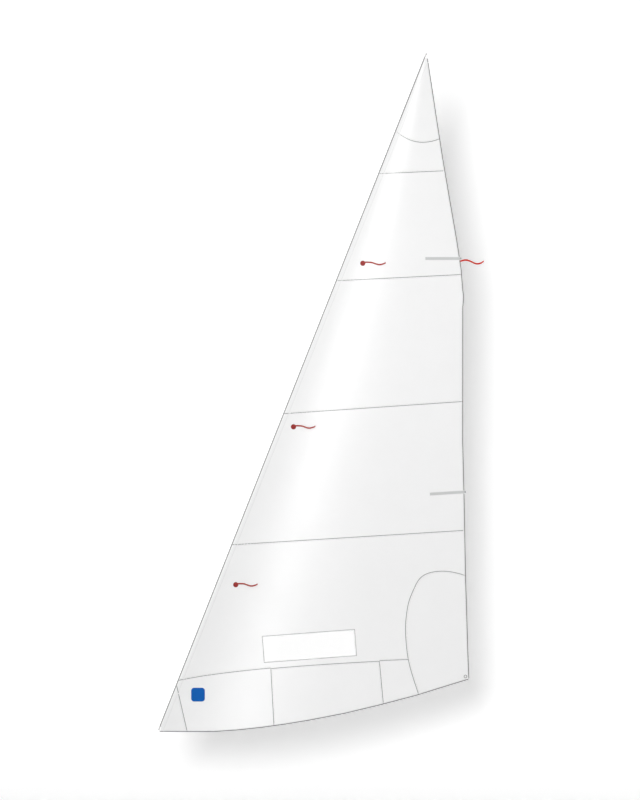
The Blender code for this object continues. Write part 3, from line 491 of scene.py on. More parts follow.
def film(name, colour, rough, uneven, **values):
    """Smooth film with slow waves and fine scuffs."""
    paint = Paint(name)
    slow = paint.noise(0.05, 3.0)
    scuff = paint.noise(0.003, 5.0, scale=(0.15, 1.0, 1.0), turn=(0.0, 0.6, 0.0))
    paint.colour(slow, 0.3, 0.7, darker(colour, uneven), colour)
    paint.roughness(scuff, rough, rough + 0.18)
    paint.bump(slow, 0.0004, 0.25)
    return paint.set(**values).material


def metal(name, colour, rough, size=0.0008, dull=0.25):
    """Metal with fine scratches, darker where it is dull."""
    paint = Paint(name)
    scratch = paint.noise(size, 4.0, rough=0.7)
    stain = paint.noise(0.006, 3.0)
    paint.colour(stain, 0.35, 0.7, colour, darker(colour, dull))
    paint.roughness(scratch, rough - 0.08, rough + 0.14)
    paint.bump(scratch, 0.00002, 0.4)
    return paint.set(Metallic=1.0).material


def streaked(name, colour, rough):
    """Glass fibre: fine streaks along the strip under a thin resin skin."""
    paint = Paint(name)
    fibre = paint.noise(0.0007, 3.0, scale=(0.02, 1.0, 1.0))
    paint.colour(fibre, 0.35, 0.65, darker(colour, 0.12), colour)
    paint.roughness(fibre, rough, rough + 0.12)
    paint.bump(fibre, 0.00003, 0.5)
    return paint.set(Coat_Weight=0.2).material


def moulded(name, colour, rough):
    """Moulded plastic with a fine grain, rubbed lighter in places."""
    paint = Paint(name)
    wear = paint.noise(0.008, 4.0)
    paint.colour(wear, 0.4, 0.75, darker(colour, 0.1), colour)
    paint.roughness(wear, rough, rough + 0.1)
    paint.bump(paint.noise(0.0005, 2.0), 0.00004, 0.4)
    return paint.material


WHITE = (0.93, 0.93, 0.93)
SAIL = dict(rough=0.48, uneven=0.015, gloss=1.0, through=1.0)
RIBBON = dict(rough=0.5, uneven=0.12, gloss=0.15)
DARK_STRIPS = dict(pitch=TAPE_WEAVE, uneven=0.15, gloss=0.2)
sailcloth = woven("sailcloth", WHITE, **SAIL)
patch_cloth = woven("patch_cloth", WHITE, **SAIL)
tape_cloth = woven("tape_cloth", (0.88, 0.88, 0.88), TAPE_WEAVE, rough=0.52, uneven=0.02, gloss=0.8)
pocket_cloth = woven("pocket_cloth", (0.60, 0.605, 0.605), TAPE_WEAVE, rough=0.6, uneven=0.06)
ribbon_cloth = woven("ribbon_cloth", (0.60, 0.035, 0.022), **RIBBON)
telltale_cloth = woven("telltale_cloth", (0.40, 0.045, 0.038), **RIBBON)
dot_film = woven("dot_film", (0.31, 0.033, 0.031), 0.0005, rough=0.45, uneven=0.10, gloss=0.15)
thread = woven("seam_thread", (0.70, 0.70, 0.70), 0.0003, rough=0.6, uneven=0.08)
# Dark grey strip: a sealed edge with a painted shadow line along it
seal_and_shadow_line = woven("seal_and_shadow_line", (0.20, 0.20, 0.20), **DARK_STRIPS)
# Near-black strip: painted shade along the folded edges of the tapes, outlining the sail
hem_shade = woven("hem_shade", (0.11, 0.11, 0.11), **DARK_STRIPS)
# With less refraction than real film, so that the sun's glare leaves the window's outline dark
window_film = film("window_film", (1.0, 1.0, 1.0), 0.05, 0.01, Transmission_Weight=1.0, IOR=1.06)
badge_film = film("badge_film", (0.001, 0.112, 0.46), 0.4, 0.10, Specular_IOR_Level=0.15)
steel = metal("stainless_steel", (0.45, 0.45, 0.445), 0.26)
steel_wire = metal("wire_rope", (0.30, 0.30, 0.295), 0.38, dull=0.35)
ferrule_metal = metal("ferrule_metal", (0.38, 0.38, 0.375), 0.36, size=0.0015, dull=0.3)
glass_fibre = streaked("glass_fibre", (0.60, 0.63, 0.62), 0.35)
cap_plastic = moulded("batten_cap", (0.42, 0.44, 0.44), 0.45)


def add(name, mesh, finish, body="sail", slot=None):
    mesh.name = name
    made = put(name, mesh)
    mesh.materials.clear()
    mesh.materials.append(finish)
    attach(made, body)
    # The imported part's own materials hold the plain names, so Blender adds a number to these
    return made


def stand_in(node, *looks):
    """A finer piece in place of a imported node."""
    made = add(node + "_fine", *looks)
    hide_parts(node)
    return made


def mesh_of(work, sharp=30):
    mesh = bpy.data.meshes.new("mesh")
    bmesh.ops.recalc_face_normals(work, faces=work.faces)
    work.to_mesh(mesh)
    work.free()
    mesh.shade_smooth()
    mesh.set_sharp_from_angle(angle=math.radians(sharp))
    return mesh


def slice_at(work, point, normal):
    everything = work.verts[:] + work.edges[:] + work.faces[:]
    bmesh.ops.bisect_plane(work, geom=everything, dist=1e-6, plane_co=point, plane_no=normal)


def side_view(work):
    return np.array([v.co.xz for v in work.verts]).T


def slice_finely(work):
    """Cuts a piece of the sheet along the lines between which the cloth runs straight."""
    x, z = side_view(work)
    own = chord_share(x, z)
    for share in SHARES:
        if own.min() < share < own.max():
            foot = Vector((share * chord_at(0.0), 0.0, 0.0))
            line = HEAD - foot
            slice_at(work, foot, Vector((line.z, 0.0, -line.x)).normalized())
    for height in HEIGHTS[(HEIGHTS > z.min()) & (HEIGHTS < z.max())]:
        slice_at(work, Vector((0.0, 0.0, height)), Vector((0.0, 0.0, 1.0)))


def declare(piece, flat, folded=None):
    """Works out a cloth or film's flat size, taking its flat area as half its mesh's, and keeps
    nothing of it.
    """
    area = sum(face.area for face in piece.data.polygons) / 2
    flat = (folded, area / folded) if folded else flat


def thicken(work, way):
    raised = bmesh.ops.extrude_face_region(work, geom=work.faces[:])
    upper = [item for item in raised["geom"] if isinstance(item, bmesh.types.BMVert)]
    bmesh.ops.translate(work, verts=upper, vec=way)


def packed_shape(node, near, angle):
    """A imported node's mesh with each flat side made one face again."""
    work = bmesh.new()
    work.from_mesh(nodes[node].data)
    bmesh.ops.remove_doubles(work, verts=work.verts, dist=near)
    bmesh.ops.dissolve_limit(work, angle_limit=angle, verts=work.verts, edges=work.edges)
    return work


def fine_cloth(name, finish, folded=None):
    """A packed cloth node, cut finely and moved onto the smooth cloth.

    folded is the width that a folded tape was cut to."""
    work = packed_shape(name, 2e-5, 0.0005)
    slice_finely(work)
    x, z = side_view(work)
    for vert, shift in zip(work.verts, cloth_y(x, z) - plain_y(x, z)):
        vert.co.y += shift
    declare(stand_in(name, mesh_of(work), finish), unrolled_box(x, z), folded)


def fine_film(name, outline, low, finish):
    """A thin flat piece on the cloth, given by its outline in the side view."""
    work = bmesh.new()
    work.faces.new([work.verts.new((x, 0.0, z)) for x, z in outline])
    slice_finely(work)
    for vert in work.verts:
        vert.co.y = float(cloth_y(vert.co.x, np.array(vert.co.z))) + low
    thicken(work, (0.0, CLOTH, 0.0))
    declare(stand_in(name, mesh_of(work), finish), unrolled_box(*outline.T))


# Stitches and strips, and how far they start above the cloth
SEWN_ON = 0.00002
STITCH_HIGH = 0.0002
STRIP_HIGH = 0.00006
STRIP_STEP = 0.01
ZIGZAG = 0.0045
ZIGZAG_THREAD = 0.00112
STRAIGHT_THREAD = 0.0007


def spaced(line, gap):
    """Points of a side-view line at even steps."""
    line = np.array(line, float)
    far = np.concatenate([[0.0], np.cumsum(np.hypot(*np.diff(line, axis=0).T))])
    at = np.linspace(0.0, far[-1], max(3, int(round(far[-1] / gap)) + 1))
    return np.stack([np.interp(at, far, side) for side in line.T], axis=1)


def left_of(points):
    """Unit side-view directions along a line and to its left."""
    run = np.gradient(points, axis=0)
    run /= np.hypot(*run.T)[:, None]
    return run, np.stack([-run[:, 1], run[:, 0]], axis=1)


def shifted(line, aside, *tests, step=0.005):
    """The runs of a line moved to its left where every test of x and z holds."""
    points = spaced(line, step)
    points = points + left_of(points)[1] * aside
    good = np.ones(len(points), bool)
    for test in tests:
        good &= test(points[:, 0], points[:, 1])
    edges = np.flatnonzero(np.diff(np.concatenate([[False], good, [False]]).astype(int)))
    return [points[a:b] for a, b in zip(edges[::2], edges[1::2]) if b - a > 3]


def behind_luff(far):
    return lambda x, z: behind_wire(x, z) > far


def before_leech(far):
    return lambda x, z: leech_x(z) - x > far


def above_foot(far):
    return lambda x, z: z - foot_z(x) > far


class Sewing:
    """Closed ridges on the cloth: stitches, or narrow dark strips along edges, sealed edges with
    painted shadow lines and hems of painted shade.
    """

    def __init__(self):
        self.points = []
        self.faces = []
        self.count = 0

    def ridge(self, left, middle, right, face, side, high):
        """A ridge between two lines. face is its side's offset from the middle of the cloth."""
        count = len(middle)
        for line, lift in ((left, 0.0), (middle, high), (right, 0.0)):
            y = cloth_y(line[:, 0], line[:, 1]) + side * (face + lift + SEWN_ON)
            self.points.append(np.stack([line[:, 0], y, line[:, 1]], axis=1))
        first = self.count + np.arange(count - 1)
        for low, high_lane in ((0, 1), (1, 2), (2, 0)):
            a = first + low * count
            b = first + high_lane * count
            self.faces.extend(np.stack([a, a + 1, b + 1, b], axis=1).tolist())
        last = 3 * count - 1
        ends = [[0, count, 2 * count], [last, last - count, last - 2 * count]]
        self.faces.extend((self.count + np.array(ends)).tolist())
        self.count += 3 * count

    def strip(self, lines, face, side, width=0.004):
        for line in lines:
            points = spaced(line, STRIP_STEP)
            half = left_of(points)[1] * width / 2
            self.ridge(points + half, points, points - half, face, side, STRIP_HIGH)

    def zigzag(self, lines, face, side):
        for line in lines:
            points = spaced(line, ZIGZAG)
            run, left = left_of(points)
            turn = np.where(np.arange(len(points)) % 2 == 0, 0.5, -0.5)[:, None]
            middle = points + left * ZIGZAG * turn
            half = run * ZIGZAG_THREAD / 2
            self.ridge(middle - half, middle, middle + half, face, side, STITCH_HIGH)

    def straight(self, lines, face, side, stitch=0.0036):
        """Stitches that narrow where the thread goes into the cloth."""
        for line in lines:
            points = spaced(line, stitch / 3)
            wide = np.where(np.arange(len(points)) % 3 == 0, 0.25, 1.0)[:, None]
            half = left_of(points)[1] * wide * STRAIGHT_THREAD / 2
            self.ridge(points + half, points, points - half, face, side, STITCH_HIGH)

    def piece(self, name, finish, slot=None):
        mesh = bpy.data.meshes.new(name)
        mesh.from_pydata(np.concatenate(self.points), [], self.faces)
        work = bmesh.new()
        work.from_mesh(mesh)
        bpy.data.meshes.remove(mesh)
        add(name, mesh_of(work, 60), finish, "sail", slot)


# Cloth
BOTH = (("port", -1), ("starboard", 1))
PANELS = (
    "head_panel", "upper_panel", "upper_middle_panel", "lower_middle_panel", "window_panel",
    "foot_panel_tack", "foot_panel_middle", "foot_panel_clew",
)
for panel in PANELS:
    fine_cloth(panel, sailcloth)
fine_cloth("window_pane", window_film)
PATCHED = (("head", "head_panel"), ("tack", "foot_panel_tack"), ("clew", "window_panel"))
for corner, panel in PATCHED:
    for side, _ in BOTH:
        fine_cloth(corner + "_patch_" + side, patch_cloth)
fine_cloth("luff_sleeve", sleeve_cloth(), SLEEVE_FLAT)
fine_cloth("leech_tape", tape_cloth, TAPE_FLAT)
fine_cloth("foot_tape", tape_cloth, TAPE_FLAT)
for name, panel in (("upper", "upper_panel"), ("lower", "lower_middle_panel")):
    fine_cloth(name + "_batten_pocket", pocket_cloth, POCKET_FLAT)


def arc(middle, radius, angles):
    return np.array(middle) + radius * np.stack([np.cos(angles), np.sin(angles)], axis=1)


def panel_layer(x, z):
    return sum(bool(seam_z(seam, x) < z) for seam in SEAMS) % 2


DOT_STEPS = 56
for name, (height, behind) in TELLTALES.items():
    middle = (luff_x(height) + behind, height)
    layer = panel_layer(*middle)
    dot = arc(middle, DOT_RADIUS, np.arange(DOT_STEPS) * 2 * math.pi / DOT_STEPS)
    for side, way in BOTH:
        low = (layer + way - 0.5) * PITCH - CLOTH / 2
        fine_film(name + "_dot_" + side, dot, low, dot_film)

corners = []
for quarter, sign in enumerate(((1, 1), (-1, 1), (-1, -1), (1, -1))):
    corner = np.array(BADGE_MIDDLE) + np.array(sign) * (BADGE_SIDE / 2 - BADGE_CORNER)
    corners.append(arc(corner, BADGE_CORNER, np.radians(90 * quarter + np.linspace(0, 90, 11))))
fine_film("tack_badge", np.concatenate(corners), -PANEL_FACE, badge_film)

# Seams
seam_sewing = Sewing()
# Sealed edges, drawn dark with painted shadow lines
edges = Sewing()
ROWS = (0.0045, 0.0105)
EDGE = 0.002
FINE_STEP = 0.002
SLEEVE_END = SLEEVE_WIDTH + 0.001
FOLD_GAP = 0.004
RIM_GAP = 0.0005
END_GAP = 0.003
CLEW_GAP = 0.015
clear_of_tapes = (behind_luff(SLEEVE_END), before_leech(TAPE_WIDTH), above_foot(TAPE_WIDTH))


def under_tape(far, width):
    """Where a tape's outer leg lies flat, far being the distance from its fold."""
    return (far > FOLD_GAP) & (far < width - RIM_GAP)


# Places on the tapes where painted shade marks the step of an edge lying under them
UNDER = (
    lambda x, z: under_tape(behind_wire(x, z), SLEEVE_WIDTH) & above_foot(END_GAP)(x, z),
    lambda x, z: under_tape(leech_x(z) - x, TAPE_WIDTH) & above_foot(END_GAP)(x, z),
    lambda x, z: under_tape(z - foot_z(x), TAPE_WIDTH) & before_leech(CLEW_GAP)(x, z),
)


def edge_line(line, aside, face, side):
    """A sealed edge with its painted shadow line, and painted shade of the step that it makes in
    the tapes over it.
    """
    edges.strip(shifted(line, aside, *clear_of_tapes, step=FINE_STEP), face, side)
    for under in UNDER:
        edges.strip(shifted(line, aside, under, step=FINE_STEP), TAPE_FACE, side)


def sew_lap(line, aside, port_face, starboard_face):
    """Two rows through a lap that lies aside of a line, where the port piece ends at the line."""
    lap = math.copysign(1.0, aside)
    for row in ROWS:
        rows = shifted(line, lap * row, *clear_of_tapes)
        seam_sewing.zigzag(rows, port_face, -1)
        seam_sewing.zigzag(rows, starboard_face, 1)
    edge_line(line, lap * EDGE, port_face, -1)
    edge_line(line, lap * (SEAM_LAP - EDGE), starboard_face, 1)


for number, seam in enumerate(SEAMS):
    ends = np.array([luff_x(seam[0]), leech_x(seam[1])])
    line = np.stack([ends, seam_z(seam, ends)], axis=1)
    sew_lap(line, 1 if number % 2 == 0 else -1, PANEL_FACE, PANEL_FACE)

meetings = []
for (top_x, top_z), (low_x, low_z) in FOOT_CUTS:
    slope = (low_x - top_x) / (low_z - top_z)
    meet = top_x + slope * (foot_seam_z(top_x) - top_z)
    meetings.append(meet)
    lowest = foot_z(low_x)
    cut_line = np.array([(meet, foot_seam_z(meet)), (top_x + slope * (lowest - top_z), lowest)])
    sew_lap(cut_line, 1 if len(meetings) == 1 else -1, PATCH_FACE, PANEL_FACE)
marks = (0.0, *meetings, CLEW_AFT + 0.1)
port_faces = (PANEL_FACE, PATCH_FACE, PANEL_FACE)
other_faces = (PANEL_FACE, INNER_FACE, PANEL_FACE)
for start, end, aside, *faces in zip(marks, marks[1:], (1, -1, 1), port_faces, other_faces):
    x = np.linspace(start, end, 60)
    sew_lap(np.stack([x, foot_seam_z(x)], axis=1), aside, *faces)
seam_sewing.piece("seam_stitching", thread, "sailcloth")

# Corner patches
PATCH_ROWS = (0.0055, 0.0115)
patch_sewing = Sewing()
luff_end = (ALONG * (LUFF - HEAD_PATCH_LUFF)).xz
leech_end = Vector((leech_x(HEAD.z - HEAD_PATCH_LEECH), HEAD.z - HEAD_PATCH_LEECH))
run = leech_end - luff_end
side_way = Vector((run.y, -run.x)).normalized()
head_arc = [
    luff_end + run * t + side_way * HEAD_PATCH_BULGE * (1.0 - (2.0 * t - 1.0) ** 2)
    for t in (i / 12 for i in range(13))
]
foot_end = np.array((TACK_PATCH_FOOT, 0.0))
luff_top = np.array((ALONG * TACK_PATCH_LUFF).xz)
tack_line = [foot_end + (foot_end - luff_top), luff_top]
clew_line = smooth_through(CLEW_PATCH, 3) + np.array((CLEW_AFT, CLEW_UP))
for line in (head_arc, tack_line, clew_line):
    for way in (-1, 1):
        for row in PATCH_ROWS:
            patch_sewing.zigzag(shifted(line, row, *clear_of_tapes), PATCH_FACE, way)
        edge_line(line, EDGE, PATCH_FACE, way)
patch_sewing.piece("patch_stitching", thread, "patch_cloth")

# Window
WINDOW_STRIP = 0.0025
window_sewing = Sewing()


def window_sides(inset):
    """The four sides of the window, as pairs of ends, moved inwards."""
    tilt = np.array((math.cos(WINDOW_TILT), math.sin(WINDOW_TILT)))
    up = np.array((-tilt[1], tilt[0]))
    half = np.array((WINDOW_LENGTH / 2 - inset, WINDOW_DEPTH / 2 - inset))
    signs = ((-1, -1), (1, -1), (1, 1), (-1, 1), (-1, -1))
    corners = [np.array(WINDOW_MIDDLE) + tilt * half[0] * a + up * half[1] * b for a, b in signs]
    return list(zip(corners, corners[1:]))


# Sealed edges round the window, drawn dark as painted shadow lines, and their stitching
for inset, face, way in ((EDGE, PATCH_FACE, -1), (WINDOW_LAP - EDGE, INNER_FACE, 1)):
    edges.strip(window_sides(inset), face, way, WINDOW_STRIP)
    window_sewing.zigzag(window_sides(WINDOW_LAP / 2), face, way)
window_sewing.piece("window_stitching", thread, "sailcloth")

# Tapes, sleeve and pockets
HEM = 0.0025
HEM_LIFT = 0.0001
HEM_GAP = 0.0006
HEM_CLEW_GAP = 0.006
STITCH_CLEW_GAP = 0.014
NOTCH_GAP = 0.002
TAPE_ROW = 0.0085
SLEEVE_ROW = 0.0305
WIRE_ROW = 0.0070
SLEEVE_TOP = LUFF - CLOTH_START - NOTCH_GAP
tape_sewing = Sewing()
hems = Sewing()


def clear_of_pockets(x, z):
    """Where the port leg of the leech tape isn't cut away for a batten pocket."""
    away = np.ones(np.shape(x), bool)
    for batten in BATTENS.values():
        away &= np.abs(batten_place(batten, x, z)[1]) > POCKET_WIDTH / 2 + 2 * CLEAR
    return away


def clear_of_clew(far):
    return lambda x, z: from_clew(x, z) > far


def along_luff(x, z):
    return x * ALONG.x + z * ALONG.z


def above_notch(x, z):
    """Where the sleeve goes all the way round the wire."""
    return along_luff(x, z) > CLOTH_START + NOTCH_GAP


def on_sleeve(x, z):
    behind = behind_wire(x, z)
    front = np.where(above_notch(x, z), 0.002, LUFF_CUT_BACK + 0.001)
    return (behind > front) & (behind < SLEEVE_WIDTH - CLEAR) & (along_luff(x, z) < SLEEVE_TOP)


luff_line = [(ALONG * far).xz for far in (0.0, SLEEVE_TOP)]
inside = (above_foot(END_GAP), before_leech(END_GAP))
# The hems are dark strips of painted shade along the folded edges of the foot and leech tapes, also
# where those lines cross the sleeve
hem_face = TAPE_FACE + HEM_LIFT
for way in (-1, 1):
    for line, tests in ((FOOT_LINE, []), (LEECH_LINE, [clear_of_pockets] if way < 0 else [])):
        stitch_tests = [behind_luff(SLEEVE_END), clear_of_clew(STITCH_CLEW_GAP), *tests]
        tape_sewing.zigzag(shifted(line, TAPE_ROW, *stitch_tests), TAPE_FACE, way)
        hem_tests = [*tests, behind_luff(SLEEVE_WIDTH + HEM_GAP), clear_of_clew(HEM_CLEW_GAP)]
        for places in (hem_tests, [on_sleeve]):
            hems.strip(shifted(line, HEM, *places, step=FINE_STEP), hem_face, way, 2 * HEM)
    tape_sewing.zigzag(shifted(luff_line, -SLEEVE_ROW, *inside), TAPE_FACE, way)
    tape_sewing.straight(shifted(luff_line, -WIRE_ROW, *inside, above_notch), TAPE_FACE, way)
tape_sewing.piece("tape_stitching", thread, "tape_cloth")
# Sealed edges with painted shadow lines, and painted shade where the tapes step over them
edges.piece("seal_and_shadow_strips", seal_and_shadow_line)
# Painted shade along the folded edges of the tapes
hems.piece("hem_shade_strips", hem_shade)

POCKET_STITCH = 0.003
POCKET_ROW = 0.00135
pocket_sewing = Sewing()
for height, tilt in BATTENS.values():
    run = np.array((math.cos(tilt), math.sin(tilt)))
    up = np.array((-run[1], run[0])) * (POCKET_WIDTH / 2 - POCKET_ROW)
    mouth = np.array((leech_x(height), height)) - run * 0.002
    closed = mouth - run * (POCKET_LENGTH - 0.0035)
    rows = ((mouth + up, closed + up), (closed - up, mouth - up), (closed + up, closed - up))
    pocket_sewing.straight(rows, POCKET_FACE, -1, POCKET_STITCH)
pocket_sewing.piece("pocket_stitching", thread, "pocket_cloth")


# Telltale ribbons
RIBBON_THICK = 0.0002
FLUTTER = 0.0008
LEECH_FLUTTER = 0.0015
FLUTTER_LENGTH = 0.085
TIP_SLANT = 0.35
CURL = 0.08
CURL_START = 0.02


def make_ribbon(name, path, way, bend, flutter, wide=RIBBON_WIDTH, finish=telltale_cloth):
    """A thin ribbon from its pivot. way is -1 where it bends to port."""
    joint = joints[name + "_pivot"]
    normal = Vector(joint["axis"]).normalized()
    aft = Vector((-normal.y, normal.x, 0.0)).normalized()
    up = normal.cross(aft)
    out = normal if way < 0 else -normal
    line = np.concatenate([[(-RIBBON_WIDTH / 2, path[0][1])], smooth_through(path, 9)])
    length = line[-1, 0]
    work = bmesh.new()
    rows = []
    for i, (along, height) in enumerate(line):
        far = max(along, 0.0)
        wave = flutter * (1.0 - math.cos(2 * math.pi * far / FLUTTER_LENGTH)) * far / length
        lift = bend * far**2 / 2 + wave
        row = []
        for j in range(5):
            side = (j / 4 - 0.5) * wide
            slant = -TIP_SLANT * (side + wide / 2) if i == len(line) - 1 else 0.0
            curl = CURL * side * side / wide * min(1.0, far / CURL_START)
            place = aft * (along + slant) + up * (height + side) + out * (lift + curl)
            row.append(work.verts.new(Vector(joint["pos_m"]) + place))
        rows.append(row)
    for a, b in zip(rows, rows[1:]):
        for j in range(4):
            work.faces.new((a[j], b[j], b[j + 1], a[j + 1]))
    thicken(work, out * RIBBON_THICK)
    piece = stand_in(name, mesh_of(work, 40), finish, name + "_body")


def sheet_bend(height, behind):
    chord = float(chord_at(height))
    share = behind / chord
    return DRAFT * CAMBER_SCALE * 6.0 / DRAFT_END**2 * (1.0 - share / DRAFT_END) / chord


for name, (height, behind) in TELLTALES.items():
    bend = 1.1 * sheet_bend(height, behind)
    make_ribbon(name + "_ribbon_port", RIBBON_PATH, -1, 0.0, FLUTTER)
    make_ribbon(name + "_ribbon_starboard", FAR_RIBBON_PATH, 1, bend, FLUTTER)
make_ribbon(
    "leech_ribbon", LEECH_RIBBON_PATH, way=1, bend=0.0, flutter=LEECH_FLUTTER,
    wide=LEECH_RIBBON_WIDTH, finish=ribbon_cloth,
)


# Fittings
def bent(start, corner, end):
    """Five points of a bend from start to end that its corner draws outwards."""
    shares = (0.0, 0.25, 0.5, 0.75, 1.0)
    return [start * (1 - t) ** 2 + corner * 2 * t * (1 - t) + end * t**2 for t in shares]


def rounded(profile, radius):
    """A closed profile with its corners rounded."""
    found = []
    count = len(profile)
    for i, point in enumerate(profile):
        here = Vector(point)
        before = Vector(profile[i - 1]) - here
        after = Vector(profile[(i + 1) % count]) - here
        if before.angle(after) > math.radians(150):
            found.append(here)
            continue
        start = here + before.normalized() * min(radius, before.length * 0.45)
        end = here + after.normalized() * min(radius, after.length * 0.45)
        found += bent(start, here, end)
    return found


def skin(rings, closed, sharp):
    """A mesh through rings of points. The last joins the first if closed, or both get a lid."""
    work = bmesh.new()
    rows = [[work.verts.new(p) for p in ring] for ring in rings]
    for a, b in zip(rows, rows[1:] + rows[:1] if closed else rows[1:]):
        for j in range(len(a)):
            k = (j + 1) % len(a)
            work.faces.new((a[j], b[j], b[k], a[k]))
    if not closed:
        work.faces.new(rows[0])
        work.faces.new(list(reversed(rows[-1])))
    return mesh_of(work, sharp)


LATHE_STEPS = 72


def lathe(profile, middle, axis):
    turn = Vector((0.0, 0.0, 1.0)).rotation_difference(axis)
    rings = []
    for i in range(LATHE_STEPS):
        angle = 2 * math.pi * i / LATHE_STEPS
        ring = [Vector((r * math.cos(angle), r * math.sin(angle), h)) for r, h in profile]
        rings.append([turn @ p + middle for p in ring])
    return skin(rings, True, 40)


half = THIMBLE_HALF_WIDTH
thimble = [(THIMBLE_BORE, -half), (THIMBLE_BORE, half), (THIMBLE_FLANGE, half)]
start = math.acos(THIMBLE_RIM / GROOVE_RADIUS)
for i in range(15):
    angle = start + (2 * math.pi - 2 * start) * i / 14
    out = EYE_RADIUS + GROOVE_RADIUS * math.cos(angle)
    thimble.append((out, GROOVE_RADIUS * math.sin(angle)))
thimble.append((THIMBLE_FLANGE, -half))
for end, place in (("tack", TACK), ("head", HEAD)):
    mesh = lathe(rounded(thimble, 0.0007), place, Vector((0.0, 1.0, 0.0)))
    stand_in(end + "_thimble", mesh, steel, "luff_wire_set")


def short_bend(before, corner, after):
    start = corner + (before - corner).normalized() * THROAT_BEND
    end = corner + (after - corner).normalized() * THROAT_BEND
    return bent(start, corner, end)


def eye_points(turn):
    """One end of the wire, from its straight part round the thimble to the end of the tail."""
    reach = FERRULE_START - THROAT_BEND
    wire_corner = Vector((-reach, 0.0))
    tail_corner = Vector((-reach, TAIL_OFFSET))
    first = math.pi + math.acos(EYE_RADIUS / reach)
    tail_angle = math.atan2(TAIL_OFFSET, reach) + math.acos(EYE_RADIUS / tail_corner.length)
    last = 3 * math.pi - tail_angle
    loop = [Vector((math.cos(a), math.sin(a))) * EYE_RADIUS for a in np.linspace(first, last, 33)]
    wire_back = wire_corner - Vector((FERRULE_START, 0.0))
    tail_end = tail_corner - Vector((THROAT_BEND + FERRULE_LENGTH, 0.0))
    points = short_bend(wire_back, wire_corner, loop[0]) + loop
    points += short_bend(loop[-1], tail_corner, tail_end) + [tail_end]
    return [(turn * point.x, point.y) for point in points]


# The wire is stranded where it shows, and plain inside the sleeve
STRANDED = 0.062
LAY_LENGTH = 0.022
ROPE_STEP = 0.0012
STRAND_DEEP = 0.14
ROPE_SIDES = 24
tack_end = list(reversed(eye_points(-1))) + [(STRANDED, 0.0)]
head_end = [(LUFF - STRANDED, 0.0)] + [(LUFF + a, b) for a, b in eye_points(1)]


def rope_rings(route, phase):
    """Rings of a six-strand rope along a route of (along the luff, aft)."""
    route = spaced(route, ROPE_STEP)
    rings = []
    for i, ((along, aft), (side_along, side_aft)) in enumerate(zip(route, left_of(route)[1])):
        middle = ALONG * along + AFT * aft
        across = ALONG * side_along + AFT * side_aft
        twist = phase + 2 * math.pi * i * ROPE_STEP / LAY_LENGTH
        ring = []
        for j in range(ROPE_SIDES):
            angle = 2 * math.pi * j / ROPE_SIDES
            radius = WIRE_RADIUS * (1.0 - STRAND_DEEP + STRAND_DEEP * abs(math.cos(3 * angle)))
            turned = across * math.cos(angle + twist) + Vector((0, 1, 0)) * math.sin(angle + twist)
            ring.append(middle + turned * radius)
        rings.append(ring)
    return rings


first_rings = rope_rings(tack_end, 0.0)
last_rings = rope_rings(head_end, 2 * math.pi * (len(first_rings) - 1) * ROPE_STEP / LAY_LENGTH)
mesh = skin(first_rings + last_rings, False, 75)
stand_in("luff_wire", mesh, steel_wire, "luff_wire_set")


def oval_ring(along, room):
    """A ring of the oval ferrule, round both runs of the wire."""
    radius = WIRE_RADIUS + room
    ring = []
    for middle, first in ((TAIL_OFFSET, -90), (0.0, 90)):
        for angle in np.radians(np.linspace(first, first + 180, 17)):
            beside = Vector((0.0, radius * math.sin(angle), 0.0))
            ring.append(ALONG * along + AFT * (middle + radius * math.cos(angle)) + beside)
    return ring


# Along and inwards, for one pressed groove of the ferrule
GROOVE = ((-0.0009, 0.0), (-0.0005, 0.00018), (0.0005, 0.00018), (0.0009, 0.0))
GROOVES = (0.0042, 0.0070, 0.0098)
BEVEL = 0.0004
OUTER = CLEAR + FERRULE_WALL
ferrule = [(0.0, CLEAR), (0.0, OUTER - BEVEL), (BEVEL, OUTER)]
ferrule += [(groove + far, OUTER - deep) for groove in GROOVES for far, deep in GROOVE]
ferrule += [(FERRULE_LENGTH - far, room) for far, room in reversed(ferrule[:3])]
for end, start in (("tack", FERRULE_START), ("head", LUFF - FERRULE_START - FERRULE_LENGTH)):
    mesh = skin([oval_ring(start + far, room) for far, room in ferrule], True, 40)
    stand_in(end + "_ferrule", mesh, ferrule_metal, "luff_wire_set")


def eyelet_middle():
    """Side-view place at the same distance from leech and foot."""
    down_foot = Vector(FOOT_LINE[-2] - FOOT_LINE[-1]).normalized()
    up_leech = Vector(LEECH_LINE[1] - LEECH_LINE[0]).normalized()
    far = EYELET_FROM_EDGE / math.sin(down_foot.angle(up_leech) / 2)
    return Vector((CLEW_AFT, CLEW_UP)) + (down_foot + up_leech).normalized() * far


def smooth_y(x, z):
    chord = float(chord_at(z))
    return chord * float(section((x - luff_x(z)) / chord))


eye_x, eye_z = eyelet_middle()
tiny = 0.0005
slope_x = (smooth_y(eye_x + tiny, eye_z) - smooth_y(eye_x - tiny, eye_z)) / (2 * tiny)
slope_z = (smooth_y(eye_x, eye_z + tiny) - smooth_y(eye_x, eye_z - tiny)) / (2 * tiny)
eye_out = Vector((slope_x, -1.0, slope_z)).normalized()
eye_at = Vector((eye_x, smooth_y(eye_x, eye_z), eye_z))
stack = PATCH_FACE * abs(eye_out.y)
port = stack + CLEAR
washer_low = -stack - CLEAR
washer_high = washer_low - EYELET_PLATE
lip_low = washer_high - CLEAR
lip_high = lip_low - EYELET_PLATE
eyelet = [
    (EYELET_BORE, port + EYELET_PLATE), (EYELET_FLANGE, port + EYELET_PLATE * 0.75),
    (EYELET_FLANGE, port), (EYELET_BARREL, port), (EYELET_BARREL, lip_low),
    (EYELET_LIP, lip_low), (EYELET_LIP, lip_high), (EYELET_BORE, lip_high),
]
stand_in("clew_eyelet", lathe(rounded(eyelet, 0.0006), eye_at, eye_out), steel)
